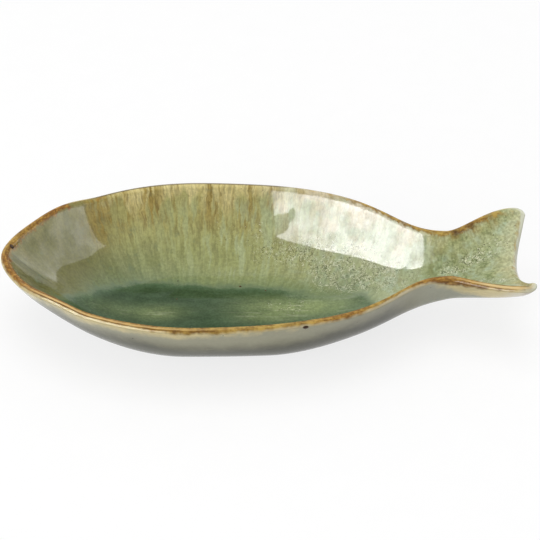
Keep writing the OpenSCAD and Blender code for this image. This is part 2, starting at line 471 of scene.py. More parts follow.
def edge_numbers(rows: int, columns: int, first: int = 0) -> np.ndarray:
    """Point numbers once round a grid: nose, far side, fork and near side."""
    at = first + np.arange(rows * columns).reshape(rows, columns)
    return np.concatenate([at[0], at[1:, -1], at[-1, -2::-1], at[-2:0:-1, 0]])


def strip_quads(upper: np.ndarray, lower: np.ndarray) -> np.ndarray:
    """Faces between two closed rows of point numbers."""
    return np.stack([upper, np.roll(upper, -1), np.roll(lower, -1), lower], -1)


@dataclass
class Shell:
    """The four skins and the lips of the dish, shared by the clay and its coats of glaze."""

    form: DishForm
    cells: Cells = field(default_factory=Cells)
    skins: dict[Layer, np.ndarray] = field(default_factory=dict)

    def __post_init__(self) -> None:
        """Works out the skins, the lips, the smooth normals and the flow map."""
        form, cells = self.form, self.cells
        true_skins = {layer: form.skin(layer, cells) for layer in Layer}
        self.rows, self.columns = true_skins[Layer.INSIDE].shape[:2]
        self.edge = edge_numbers(self.rows, self.columns)
        loops = {layer: grid.reshape(-1, 3)[self.edge] for layer, grid in true_skins.items()}
        face = form.lip_rows(loops[Layer.INSIDE], loops[Layer.OUTSIDE], form.lip_h, cells.lip)
        clay_h = form.lip_h - form.glaze_t
        clay = form.lip_rows(loops[Layer.CLAY_IN], loops[Layer.CLAY_OUT], clay_h, cells.lip)
        self.flow_in = self.flow_of(true_skins[Layer.INSIDE].reshape(-1, 3), face, 1.0)
        self.flow_out = self.flow_of(true_skins[Layer.OUTSIDE].reshape(-1, 3), face, -1.0)
        self.flow_lip = self.flow_of_lip(face)
        self.skins = {layer: form.hand_made(grid) for layer, grid in true_skins.items()}
        self.lip_face, self.lip_clay = form.hand_made(face), form.hand_made(clay)
        self.smooth()

    def flat(self, layer: Layer) -> np.ndarray:
        """The points of a skin, one after another."""
        return self.skins[layer].reshape(-1, 3)

    def closed(self, top: int, under: int, lips: int) -> tuple[list[np.ndarray], list[np.ndarray]]:
        """Faces of a shell that a lip closes.

        Args:
            top: Number of the first point of its upper skin.
            under: Number of the first point of its lower skin.
            lips: Number of the first point of the lip's inner rows.

        Returns:
            The faces of both skins and of the lip, and the point numbers of the lip's rows.
        """
        count = len(self.edge)
        middle = [lips + k * count + np.arange(count) for k in range(self.cells.lip - 1)]
        rows = [top + self.edge, *middle, under + self.edge]
        quads = [
            grid_quads(self.rows, self.columns, top, True),
            grid_quads(self.rows, self.columns, under, False),
            *[strip_quads(a, b) for a, b in zip(rows, rows[1:])],
        ]
        return quads, rows

    def crown(self, face: np.ndarray) -> tuple[np.ndarray, np.ndarray]:
        """The far half of the lip's crown, and the length along it from the nose."""
        line = face[self.cells.lip // 2]
        half = len(line) // 2
        start = (self.columns - 1) // 2
        far = np.roll(line, -start, axis=0)[: half + 1]
        steps = np.linalg.norm(np.diff(far, axis=0), axis=1)
        return far, np.concatenate([[0.0], np.cumsum(steps)])

    def flow_of(self, points: np.ndarray, face: np.ndarray, sign: float) -> np.ndarray:
        """Where the glaze over a point ran from.

        Args:
            points: Points of a skin.
            face: The rows of the lip.
            sign: 1 inside the dish and -1 outside.

        Returns:
            For each point the place along the rim and the way down from it, in centimetres.
        """
        far, length = self.crown(face)
        found = np.zeros((len(points), 2))
        for start in range(0, len(points), BATCH):
            some = points[start : start + BATCH].copy()
            some[:, 1] = np.abs(some[:, 1])
            near = ((some[:, None, :2] - far[None, :, :2]) ** 2).sum(-1).argmin(1)
            along, way = length[near], np.full(len(some), np.inf)
            for first in (near - 1, near):
                first = np.clip(first, 0, len(far) - 2)
                run = far[first + 1] - far[first]
                share = ((some - far[first])[:, :2] * run[:, :2]).sum(1) / (run[:, :2] ** 2).sum(1)
                share = clamp(share)
                gap = np.linalg.norm(some - far[first] - run * share[:, None], axis=1)
                here = length[first] + share * (length[first + 1] - length[first])
                along = np.where(gap < way, here, along)
                way = np.minimum(way, gap)
            found[start : start + BATCH] = np.stack([along, sign * way], -1) / 10
        return found

    def flow_of_lip(self, face: np.ndarray) -> np.ndarray:
        """Places along the rim and ways down from the crown, for the rows of the lip."""
        far, length = self.crown(face)
        line = face[self.cells.lip // 2].copy()
        line[:, 1] = np.abs(line[:, 1])
        near = ((line[:, None, :2] - far[None, :, :2]) ** 2).sum(-1).argmin(1)
        way = np.linalg.norm(face - face[self.cells.lip // 2][None], axis=2)
        way[self.cells.lip // 2 + 1 :] *= -1
        along = np.broadcast_to(length[near][None], way.shape)
        return np.stack([along, way], -1) / 10

    def smooth(self) -> None:
        """Finds normals that run on over the seams between the coats."""
        inside = self.flat(Layer.INSIDE)
        count = len(inside)
        points = np.vstack([inside, self.flat(Layer.OUTSIDE), self.lip_face[1:-1].reshape(-1, 3)])
        quads, rows = self.closed(0, count, 2 * count)
        normals = point_normals(points, np.vstack(quads))
        self.normal_in, self.normal_out = normals[:count], normals[count : 2 * count]
        self.normal_lip = np.array([normals[row] for row in rows])
        wall = point_normals(inside, quads[0])
        top = self.cells.lip // 2
        for k in range(top):
            share = k / top
            self.normal_lip[k] = unit(wall[self.edge] * (1 - share) + self.normal_lip[top] * share)
        self.normal_in[self.edge] = self.normal_lip[0]

    def rim_x(self, flow: np.ndarray) -> np.ndarray:
        """Where along the dish the glaze at places on the flow map ran from."""
        far, length = self.crown(self.lip_face)
        return np.interp(flow[:, 0] * 10, length, far[:, 0])

    def fork(self, flow: np.ndarray) -> np.ndarray:
        """How far places on the flow map lie into the fork of the tail, from 0 to 1."""
        far, length = self.crown(self.lip_face)
        tip = length[far[:, 0].argmax()]
        return ease(tip, tip + self.form.lobe_r, flow[:, 0] * 10)

    def signed(self, flow: np.ndarray, quads: np.ndarray, points: np.ndarray) -> np.ndarray:
        """Corner flow places, with the near side of the dish counted backwards."""
        side = np.where(points[quads][:, :, 1].mean(1) < 0, -1.0, 1.0)
        corner = flow[quads].copy()
        corner[:, :, 0] *= side[:, None]
        return corner


@dataclass(frozen=True)
class Term:
    """A value in a node tree, which sums like a number."""

    graph: Graph
    socket: bpy.types.NodeSocket

    def __add__(self, other: Term | float) -> Term:
        """The sum."""
        return self.graph.math("ADD", self, other)

    def __sub__(self, other: Term | float) -> Term:
        """The difference."""
        return self.graph.math("SUBTRACT", self, other)

    def __rsub__(self, other: float) -> Term:
        """What is left of a number."""
        return self.graph.math("SUBTRACT", other, self)

    def __mul__(self, other: Term | float) -> Term:
        """The product."""
        return self.graph.math("MULTIPLY", self, other)

    def __neg__(self) -> Term:
        """The value with the other sign."""
        return self * -1.0

    def __abs__(self) -> Term:
        """The value without its sign."""
        return self.graph.math("ABSOLUTE", self)


Value = Union[Term, float]
Paint = Union[Term, Colour]


class Graph:
    """A node tree with short calls that add and link its nodes."""

    def __init__(self, tree: bpy.types.NodeTree) -> None:
        """Takes the tree that the calls add to."""
        self.tree = tree

    def node(self, kind: str, values: dict | None = None, **settings: object) -> bpy.types.Node:
        """Adds a node.

        Args:
            kind: Its type.
            values: What its inputs hold, as numbers or as terms or sockets to link.
            settings: Its own properties.

        Returns:
            The node.
        """
        made = self.tree.nodes.new(kind)
        for name, value in settings.items():
            setattr(made, name, value)
        for key, value in (values or {}).items():
            value = value.socket if isinstance(value, Term) else value
            if isinstance(value, bpy.types.NodeSocket):
                self.tree.links.new(value, made.inputs[key])
            else:
                made.inputs[key].default_value = value
        return made

    def term(self, kind: str, values: dict | None = None, out: int | str = 0, **settings: object) -> Term:
        """Adds a node and gives one of its outputs."""
        return Term(self, self.node(kind, values, **settings).outputs[out])

    def terms(self, node: bpy.types.Node) -> dict[str, Term]:
        """All outputs of a node by their names."""
        return {out.name: Term(self, out) for out in node.outputs}

    def math(self, operation: str, a: Value, b: Value = 0.0, hold: bool = False) -> Term:
        """One sum on two values, held between 0 and 1 if hold is on."""
        return self.term("ShaderNodeMath", {0: a, 1: b}, operation=operation, use_clamp=hold)

    def step(self, value: Value, low: Value, high: Value, start: Value = 0.0, end: Value = 1.0) -> Term:
        """A smooth step of a value, from start at low to end at high."""
        values = {"Value": value, "From Min": low, "From Max": high, "To Min": start, "To Max": end}
        return self.term("ShaderNodeMapRange", values, "Result", interpolation_type="SMOOTHSTEP")

    def blend(self, factor: Value, a: Paint, b: Paint, way: str = "MIX") -> Term:
        """Two colours mixed by a factor."""
        a, b = (rgba(colour) if isinstance(colour, tuple) else colour for colour in (a, b))
        return self.term("ShaderNodeMix", {0: factor, 6: a, 7: b}, 2, data_type="RGBA", blend_type=way)

    def coats(self, colour: Paint, *coats: tuple[Value, Paint]) -> Term:
        """A colour with others laid over it in turn, each by its own factor."""
        for factor, over in coats:
            colour = self.blend(factor, colour, over)
        return colour

    def grey(self, tone: Term) -> Term:
        """A tone as a colour."""
        return self.term("ShaderNodeCombineColor", {0: tone, 1: tone, 2: tone})

    def shaded(self, colour: Term, tone: Term) -> Term:
        """A colour times a tone."""
        return self.blend(1.0, colour, self.grey(tone), "MULTIPLY")

    def scaled(self, vector: Term, by: Colour) -> Term:
        """A vector times another."""
        return self.term("ShaderNodeVectorMath", {0: vector, 1: by}, operation="MULTIPLY")

    def noise(
        self, vector: Term, scale: float | Colour, detail: float = 2.0, rough: float = 0.5, warp: float = 0.0
    ) -> Term:
        """A noise value about 0.5.

        Args:
            vector: Where it is read.
            scale: How fine it is, for all three ways or for each.
            detail: How many finer layers it has.
            rough: How strong those are.
            warp: How far it is drawn out of shape.

        Returns:
            The value.
        """
        if isinstance(scale, tuple):
            vector, scale = self.scaled(vector, scale), 1.0
        values = {"Vector": vector, "Scale": scale, "Detail": detail, "Roughness": rough, "Distortion": warp}
        return self.term("ShaderNodeTexNoise", values)

    def sway(self, amount: float, *noise: object) -> Term:
        """A noise about 0, times an amount. What follows the amount is as for the noise."""
        return (self.noise(*noise) - 0.5) * amount

    def split(self, vector: Term) -> list[Term]:
        """The three parts of a vector."""
        return list(self.terms(self.node("ShaderNodeSeparateXYZ", {0: vector})).values())

    def mark(self, name: str) -> Term:
        """A number that the mesh keeps for each point."""
        return self.term("ShaderNodeAttribute", None, "Fac", attribute_name=name)


class Effect:
    """A shader node group that more than one finish uses."""

    def __init__(self, name: str, inputs: dict[str, object], outputs: dict[str, str]) -> None:
        """Makes the empty group.

        Args:
            name: Its name.
            inputs: Named inputs with their values: a number, or a tuple for a vector.
            outputs: Named outputs with their socket types.
        """
        self.tree = bpy.data.node_groups.new(name, "ShaderNodeTree")
        for key, value in inputs.items():
            kind = "NodeSocketVector" if isinstance(value, tuple) else VALUE
            self.tree.interface.new_socket(key, in_out="INPUT", socket_type=kind).default_value = value
        for key, kind in outputs.items():
            self.tree.interface.new_socket(key, in_out="OUTPUT", socket_type=kind)
        self.graph = Graph(self.tree)
        self.given = self.graph.terms(self.graph.node("NodeGroupInput"))
        self.result = self.graph.node("NodeGroupOutput").inputs

    def put(self, **terms: Term) -> None:
        """Links terms to the outputs with those names."""
        for name, term in terms.items():
            self.tree.links.new(term.socket, self.result[name])

    def use(self, graph: Graph, **values: Value) -> dict[str, Term]:
        """Places the group in a material and gives its outputs."""
        return graph.terms(graph.node("ShaderNodeGroup", values, node_tree=self.tree))


@dataclass(frozen=True)
class IronTones:
    """The browns of the iron edge, from where it is thin to where it is charred."""

    gold: Colour = (0.470, 0.335, 0.085)
    amber: Colour = (0.310, 0.200, 0.042)
    umber: Colour = (0.175, 0.100, 0.022)
    char: Colour = (0.085, 0.042, 0.014)
    ember: Colour = (1.18, 0.88, 0.68)

    def effect(self) -> Effect:
        """The brown that iron in the clay draws over the lip, where the glaze is thin."""
        inputs = {"Flow": ORIGIN, "Place": ORIGIN, **IRON_MARKS}
        effect = Effect("iron_edge", inputs, {"Mask": VALUE, "Color": COLOUR})
        g, given = effect.graph, effect.given
        flow, reach, drip, burnt = (given[name] for name in ("Flow", "Reach", "Drip", "Burnt"))
        down = g.split(flow)[1]
        loose = g.sway(1.2, flow, (1.5, 0.6, 0.0), 2.0, 0.55)
        torn = g.sway(2.2, flow, (4.0, 1.5, 0.0), 3.0, 0.6) + loose
        inner, outer = reach + torn * (reach + 0.05), drip + loose * (drip + 0.05)
        soft = reach * 0.2 + 0.05
        inside = g.step(down, inner - soft, inner + soft, 1.0, 0.0)
        outside = g.step(-down, outer - 0.10, outer + 0.10, 1.0, 0.0)
        patch = g.noise(flow, (1.1, 1.6, 0.0), 3.0, 0.55)
        mask = inside * outside * g.step(patch - 1.0 + given["Iron"], 0.0, 0.3)
        grain = g.noise(flow, (2.2, 9.0, 0.0))
        mottle = g.noise(given["Place"], 5.5, 3.0, 0.6)
        tone = patch * 0.35 + grain * 0.35 + mottle * 0.30 - burnt * 0.07
        verge = g.math("MULTIPLY", inside * (1.0 - inside), 1.6, hold=True)
        deep = g.step(down, -0.04, 0.10) * g.step(mottle, 0.44, 0.58, 0.95, 0.25)
        colour = g.coats(
            self.amber,
            (g.step(tone, 0.46, 0.56), self.gold),
            (g.step(tone, 0.465, 0.39), self.umber),
            (verge, self.umber),
            (deep * burnt, self.umber),
        )
        colour = g.blend(burnt, colour, g.blend(1.0, colour, self.ember, "MULTIPLY"))
        stain = given["Stain"] * g.step(abs(down), 0.75, 0.4)
        effect.put(Mask=g.math("MAXIMUM", mask, stain), Color=g.blend(stain, colour, self.char))
        return effect


class Effects:
    """The shared effects: runs of glaze, crystals with partly painted glints, specks, the iron edge and the skin of
    the glaze.
    """

    def __init__(self) -> None:
        """Builds each group once."""
        self.runs = self.make_runs()
        self.glitter = self.make_glitter()
        self.specks = self.make_specks()
        self.iron_edge = IronTones().effect()
        self.skin = self.make_skin()

    @staticmethod
    def make_runs() -> Effect:
        """Streaks that follow the way the glaze ran, in three widths."""
        widths = {"Broad": (1.2, 0.24, 1.0), "Fine": (3.3, 0.55, 2.0), "Hair": (8.5, 1.3, 2.0)}
        effect = Effect("glaze_runs", {"Flow": ORIGIN, "Place": ORIGIN}, dict.fromkeys(widths, VALUE))
        g, given = effect.graph, effect.given
        along, down, _ = g.split(given["Flow"])
        sway = g.sway(0.34, given["Place"], 1.5, 3.0, 0.6)
        flow = g.term("ShaderNodeCombineXYZ", {0: along + sway, 1: down})
        for name, (across, length, detail) in widths.items():
            effect.put(**{name: g.step(g.noise(flow, (across, length, 0.0), detail), 0.3, 0.7)})
        return effect

    @staticmethod
    def make_glitter() -> Effect:
        """A fine crowd of crystals, bright and dark, where the share is high; the bright ones are partly painted
        glints.
        """
        effect = Effect("glaze_glitter", {"Place": ORIGIN, "Share": 0.5}, {"Bright": VALUE, "Dark": VALUE})
        g, place = effect.graph, effect.given["Place"]
        worm = g.noise(place, 8.2, 2.0, 0.6, 1.8)
        crowd = effect.given["Share"] * g.step(g.noise(place, 2.4, 3.0, 0.6), 0.32, 0.54)
        high, low = 0.75 - crowd * 0.23, crowd * 0.22 + 0.25
        effect.put(Bright=g.step(worm, high, high + 0.07), Dark=g.step(worm, low, low - 0.07))
        return effect

    @staticmethod
    def make_specks() -> Effect:
        """Small round specks, of which a share shows."""
        inputs = {"Place": ORIGIN, "Cells": 5.0, "Share": 0.5, "Size": 0.3}
        effect = Effect("glaze_specks", inputs, {"Mask": VALUE})
        g, given = effect.graph, effect.given
        cell = g.node("ShaderNodeTexVoronoi", {"Vector": given["Place"], "Scale": given["Cells"]}).outputs
        pick = g.term("ShaderNodeSeparateColor", {0: cell["Color"]})
        spot = g.step(cell["Distance"], given["Size"] * 0.4, given["Size"], 1.0, 0.0)
        effect.put(Mask=spot * g.math("LESS_THAN", pick, given["Share"]))
        return effect

    @staticmethod
    def make_skin() -> Effect:
        """The slightly uneven skin of a fired glaze, with fine pits, as a height."""
        effect = Effect("glaze_skin", {"Place": ORIGIN}, {"Height": VALUE})
        g, place = effect.graph, effect.given["Place"]
        gap = g.term("ShaderNodeTexVoronoi", {"Vector": place, "Scale": 3.4}, "Distance")
        peel = g.noise(place, 2.4) + g.noise(place, 14.0) * 0.12
        effect.put(Height=peel + g.step(gap, 0.02, 0.09) * 0.25)
        return effect


class Material:
    """A material with one principled shader, a flow map and object coordinates."""

    def __init__(self, name: str, roughness: float, specular: float, coat: float) -> None:
        """Makes the material.

        Args:
            name: Its name.
            roughness: Roughness of the shader, where no node feeds it.
            specular: Its specular level.
            coat: Roughness of its clear coat.
        """
        self.data = bpy.data.materials.new(name)
        self.data.use_nodes = True
        self.graph = Graph(self.data.node_tree)
        self.shader = self.data.node_tree.nodes["Principled BSDF"]
        constants = {"Roughness": roughness, "Specular IOR Level": specular, "Coat Roughness": coat}
        for key, value in {**constants, "IOR": GLAZE_IOR, "Coat IOR": GLAZE_IOR}.items():
            self.shader.inputs[key].default_value = value
        metres = self.graph.term("ShaderNodeTexCoord", None, "Object")
        self.place = self.graph.scaled(metres, (100.0, 100.0, 100.0))
        self.flow = self.graph.term("ShaderNodeUVMap", uv_map=FLOW_MAP)

    def feed(self, terms: dict[str, Term]) -> None:
        """Links terms to the shader's inputs with those names."""
        for name, term in terms.items():
            self.data.node_tree.links.new(term.socket, self.shader.inputs[name])

    def bump(self, height: Term, strength: float, distance: float = 0.12) -> None:
        """Feeds a height through a bump node to the shader's normal."""
        values = {"Strength": strength, "Distance": distance * MM, "Height": height}
        self.feed({"Normal": self.graph.term("ShaderNodeBump", values)})

    def ironed(self, colour: Term, effects: Effects) -> Term:
        """A colour with the iron edge over it."""
        marks = {name: self.graph.mark(name.lower()) for name in IRON_MARKS}
        edge = effects.iron_edge.use(self.graph, Flow=self.flow, Place=self.place, **marks)
        return self.graph.blend(edge["Mask"], colour, edge["Color"])


@dataclass(frozen=True)
class WellFinish:
    """Reactive green glaze with ochre runs, crystals and a dark pool, with a painted reflection on the far wall,
    partly painted glints among the crystals and painted shade at the nose.
    """

    olive: Colour = (0.450, 0.432, 0.165)
    sage: Colour = (0.385, 0.430, 0.235)
    # Dark olive painted at the nose as shade.
    shaded_moss: Colour = (0.172, 0.168, 0.052)
    tan: Colour = (0.770, 0.670, 0.320)
    ochre: Colour = (0.350, 0.252, 0.058)
    rust: Colour = (0.165, 0.110, 0.024)
    mist: Colour = (0.415, 0.435, 0.185)
    dusk: Colour = (0.215, 0.215, 0.078)
    fen: Colour = (0.240, 0.290, 0.130)
    sedge: Colour = (0.155, 0.215, 0.108)
    frost: Colour = (0.560, 0.580, 0.370)
    dew: Colour = (0.440, 0.495, 0.275)
    cool: Colour = (0.400, 0.480, 0.330)
    # Pink that tints the painted reflection on the far wall.
    reflection_blush: Colour = (0.560, 0.460, 0.330)
    leaf: Colour = (0.330, 0.360, 0.142)
    # Pale colour of the painted reflection on the far wall.
    painted_reflection: Colour = (0.780, 0.720, 0.540)
    teal: Colour = (0.040, 0.076, 0.032)
    fern: Colour = (0.078, 0.134, 0.068)
    haze: Colour = (0.155, 0.210, 0.120)
    # Dark crystals, and the painted shade along the crease of the nose.
    grit_and_shade: Colour = (0.075, 0.085, 0.035)
    # Paler green for patches in the pool.
    pale_patch: Colour = (0.250, 0.312, 0.128)
    # Bright crystals, partly painted glints.
    crystal_glint: Colour = (0.760, 0.760, 0.560)
    neck_edge: float = 9.05
    neck_soft: float = 0.14

    def material(self, name: str, effects: Effects) -> bpy.types.Material:
        """Builds the finish as a material.

        Args:
            name: Name of the material.
            effects: The shared effects.

        Returns:
            The material.
        """
        made = Material(name, 0.16, 0.08, 0.04)
        g, place = made.graph, made.place
        runs = effects.runs.use(g, Flow=made.flow, Place=place)
        glitter = effects.glitter.use(g, Place=place, Share=g.mark("spark"))
        bright = glitter["Bright"]
        colour = g.coats(
            self.pooled(g, self.walls(g, runs, made.flow, place), runs, place),
            (glitter["Dark"] * 0.75, self.grit_and_shade),
            # Bright crystals, partly painted glints.
            (bright * g.step(g.split(place)[0], 9.0, 10.5, 0.60, 0.82), self.crystal_glint),
        )
        made.feed(
            {
                "Base Color": made.ironed(colour, effects),
                "Roughness": g.noise(place, 7.0, 3.0, 0.6) * 0.2 + bright * 0.2,
                "Coat Weight": self.gloss(g, runs, place),
            }
        )
        height = effects.skin.use(g, Place=place)["Height"] + bright * 0.5
        made.bump(height + runs["Hair"] * 0.15, 0.3)
        return made.data

    def gloss(self, g: Graph, runs: dict[str, Term], place: Term) -> Term:
        """How strongly the glaze mirrors: unevenly on the walls, and weakly past the neck.

        Args:
            g: The material's graph.
            runs: The streaks.
            place: Place on the dish.

        Returns:
            The weight of the clear coat.
        """
        x, y, _ = g.split(place)
        uneven = g.step(g.noise(place, 0.9, 4.0, 0.6), 0.32, 0.66, 0.58, 1.22)
        weight = g.mark("gloss") * uneven * g.step(runs["Fine"], 0.0, 1.0, 1.08, 0.9)
        weight = weight * g.step(g.mark("pool"), 0.0, 0.8, 1.0, 0.3)
        matt = g.mark("matt") + g.sway(0.6, place, 3.5, 3.0)
        weight = weight * g.step(matt, 0.34, 0.46, 1.0, 0.1)
        aside = g.math("MINIMUM", y, 2.3) - 1.65
        bowed = x + aside * aside * 0.45
        past = g.step(bowed, self.neck_edge, self.neck_edge + self.neck_soft, 1.0, 0.0)
        cheek = g.step(y, 0.5, 0.05) * g.step(x, -11.2, -12.2)
        return g.math("MULTIPLY", weight * (1.0 - cheek), past, hold=True)

    def walls(self, g: Graph, runs: dict[str, Term], flow: Term, place: Term) -> Term:
        """Colour of the walls: sage with tan and ochre running down from the rim, a painted reflection on the far
        wall and painted shade at the nose.

        Args:
            g: The material's graph.
            runs: The streaks.
            flow: Place on the flow map.
            place: Place on the dish.

        Returns:
            The colour.
        """
        down, x = g.split(flow)[1], g.split(place)[0]
        broad, fine, hair = runs["Broad"], runs["Fine"], runs["Hair"]
        tail, head, nose_shade, painted_reflection = (g.mark(name) for name in ("tail", "head", "nose_shade", "painted_reflection"))
        cloud = g.sway(0.7, place, 0.75, 3.0, 0.55)
        tone = (broad + fine) * 0.5
        lively = 1.0 - g.math("MAXIMUM", tail * 0.6, head * 0.88)
        lively = lively * g.step(x, 10.0, 11.5, 1.0, 0.35)
        calm = lively * g.step(down, 4.0, 6.5, 1.0, 0.45)
        fin = g.step(x, 8.5, 10.5)
        patchy = g.noise(place, 1.5, 4.0, 0.62)
        neck = g.step(x, 8.8, 9.4) * g.step(x, 11.8, 10.8)
        base = g.coats(
            g.blend(g.math("ADD", tail, cloud, hold=True), self.olive, self.sage),
            (g.step(down, 2.2, 4.4) * (0.8 - tail * 0.8), self.leaf),
            (tail * g.step(patchy, 0.49, 0.62) * 0.75, self.cool),
            (fin * g.step(patchy, 0.50, 0.38) * 0.8, self.fen),
            (neck * g.step(fine, 0.4, 0.8) * 0.6, self.fen),
            (g.mark("fork") * g.step(down, 1.5, 0.4, 0.0, 0.65), self.frost),
            # The nose end is painted darker as shade, its lower walls darker still; the nose mark also calms the runs
            # there.
            (head, self.shaded_moss),
            (nose_shade * g.step(down, 2.4, 4.6) * 0.78, self.shaded_moss),
            # Painted shade along the crease of the nose and on its near side.
            (g.mark("crease_shade") * 0.8, self.grit_and_shade),
        )
        reach = broad * 2.2 + 0.4
        tan = g.step(down, reach * 0.2, reach, 1.0, 0.0) * lively
        # Tint of the painted reflection on the far wall, pink to green.
        reflection_tint = g.blend(g.step(g.noise(place, 0.8), 0.42, 0.58), self.reflection_blush, self.cool)
        pale = g.step(tone, 0.5, 0.22) * g.step(down, 0.5, 1.5) * g.step(nose_shade, 0.1, 0.9, 0.75, 0.35)
        mist = g.blend(g.step(x, -7.0, -1.0), self.mist, self.dew)
        dark = g.step(tone, 0.54, 0.78) * g.step(down, 1.4, 2.6)
        streak = g.step(fine * 0.65 + broad * 0.35, 0.4, 0.66)
        stray = g.step(tone, 0.48, 0.75) * g.step(down, 3.6, 1.0, 0.0, 0.38)
        worn = g.math("MAXIMUM", g.mark("run") * (streak * 0.65 + 0.4), stray * lively)
        thread = g.step(hair, 0.5, 0.85) * g.step(down, 4.6, 2.2)
        colour = g.coats(
            base,
            (tan * 0.9, self.tan),
            # Painted reflection on the far wall: pale just under the lip, a tinted sheen further down.
            (painted_reflection * g.step(down, 0.85, 0.25), self.painted_reflection),
            (painted_reflection * g.step(down, 3.6, 2.0, 0.0, 0.7), reflection_tint),
            (pale * calm, mist),
            (dark * calm * 0.48, self.dusk),
            (worn, self.ochre),
            (thread * (worn * 0.36 + lively * 0.14), self.rust),
            (g.mark("shore") * g.step(fine, 0.1, 0.9, 0.88, 1.0), self.sedge),
        )
        spread = fin * 0.05
        grain = g.step(g.noise(place, 6.0, 3.0, 0.6), 0.35, 0.65, 0.90 - spread, spread + 1.10)
        return g.shaded(colour, g.step(hair, 0.1, 0.9, 1.05, 0.95) * grain)

    def pooled(self, g: Graph, colour: Term, runs: dict[str, Term], place: Term) -> Term:
        """Colour of the floor, where the glaze ran together.

        Args:
            g: The material's graph.
            colour: Colour of the walls.
            runs: The streaks.
            place: Place on the dish.

        Returns:
            The colour.
        """
        pool, pale_patch = g.mark("pool"), g.mark("pale_patch")
        uneven = g.sway(0.75, g.scaled(place, (0.8, 1.0, 1.0)), 1.2, 5.0, 0.62)
        edge = pool + uneven + runs["Fine"] * 0.06
        swirl = g.noise(g.scaled(place, (0.8, 1.7, 1.7)), 0.9, 5.0, 0.6)
        drawn = g.step(g.noise(place, (0.45, 4.5, 4.5), 3.0, 0.6), 0.54, 0.68)
        colour = g.coats(
            colour,
            (g.step(edge, 0.08, 0.34, 0.0, 0.85), self.haze),
            (g.step(edge, 0.26, 0.56), self.fern),
            (g.step(edge, 0.42, 0.95) * g.step(swirl, 0.66, 0.40, 0.5, 1.0), self.teal),
            (pale_patch * g.step(swirl, 0.26, 0.52, 0.6, 1.0), self.pale_patch),
            (drawn * pale_patch * 0.22, self.crystal_glint),
        )
        ends = (g.step(pool, 0.1, 0.5, 1.0, end) for end in (0.86, 1.14))
        return g.shaded(colour, g.step(g.noise(place, 7.0, 3.0, 0.65), 0.35, 0.65, *ends))


@dataclass(frozen=True)
class RimFinish:
    """Brown iron glaze over the lip, with the well's glaze where the iron is weak, and a painted highlight and
    painted dark lines along the lip.
    """

    well: WellFinish
    cream: Colour = (0.800, 0.680, 0.370)
    sage: Colour = (0.680, 0.690, 0.530)
    stone: Colour = (0.520, 0.460, 0.290)
    # Colour of the painted shade line along the far lip's outer edge.
    line: Colour = (0.110, 0.085, 0.050)
    fleck: Colour = (0.045, 0.022, 0.010)
    # Colours of the painted highlight along the near lip's crown, on the body and on the lobe.
    highlight_honey: Colour = (0.720, 0.490, 0.205)
    highlight_peach: Colour = (0.820, 0.620, 0.300)
    # Painted dark line that borders the painted highlight on the near lip.
    highlight_border: Colour = (0.150, 0.065, 0.012)
    highlight_at: float = 0.05
    highlight_border_at: float = 0.145

    def material(self, name: str, effects: Effects) -> bpy.types.Material:
        """Builds the finish as a material, with the name and the shared effects."""
        made = Material(name, 0.14, 0.06, 0.06)
        g, flow, place = made.graph, made.flow, made.place
        down, x, fork = g.split(flow)[1], g.split(place)[0], g.mark("fork")
        bare = g.step(x, -3.5, 1.0) * g.step(x, 10.5, 9.0)
        under = g.coats(
            self.well.walls(g, effects.runs.use(g, Flow=flow, Place=place), flow, place),
            (g.step(down, 0.02, -0.16), g.blend(fork, g.blend(bare, self.cream, self.stone), self.sage)),
            (fork * g.step(down, 0.10, -0.02), self.sage),
        )
        across = down + g.sway(0.09, place, 0.9)
        # A painted highlight along the near lip's crown, with a painted dark line beside it.
        crest, lobe = g.mark("crest"), g.step(x, 11.2, 12.4)
        bright = g.step(abs(across + self.highlight_at), lobe * 0.06 + 0.08, 0.03)
        dark = g.step(abs(across + self.highlight_border_at), 0.04, 0.012)
        spots = effects.specks.use(g, Place=place, Cells=5.5, Share=0.03, Size=0.30)
        grain = g.noise(place, 8.0, 3.0, 0.6)
        colour = g.coats(
            made.ironed(under, effects),
            # Painted shade line along the far lip's outer edge.
            (g.step(down, 0.06, 0.0) * (g.mark("line") * 0.75), self.line),
            # Painted highlight along the near lip's crown.
            (bright * crest * (lobe * 0.2 + 0.75), g.blend(lobe, self.highlight_honey, self.highlight_peach)),
            # Painted dark line beside the painted highlight, on the near lip towards the nose.
            (dark * (crest * g.step(x, 2.0, -1.0, 0.0, 0.8)), self.highlight_border),
            (spots["Mask"] * g.mark("iron") * 0.8, self.fleck),
        )
        made.feed(
            {
                "Base Color": colour,
                "Roughness": g.step(grain, 0.3, 0.7, 0.12, 0.28),
                "Coat Weight": g.step(grain, 0.35, 0.7, 0.28, 0.16),
            }
        )
        made.bump(effects.skin.use(g, Place=place)["Height"] + grain * 0.4, 0.3)
        return made.data


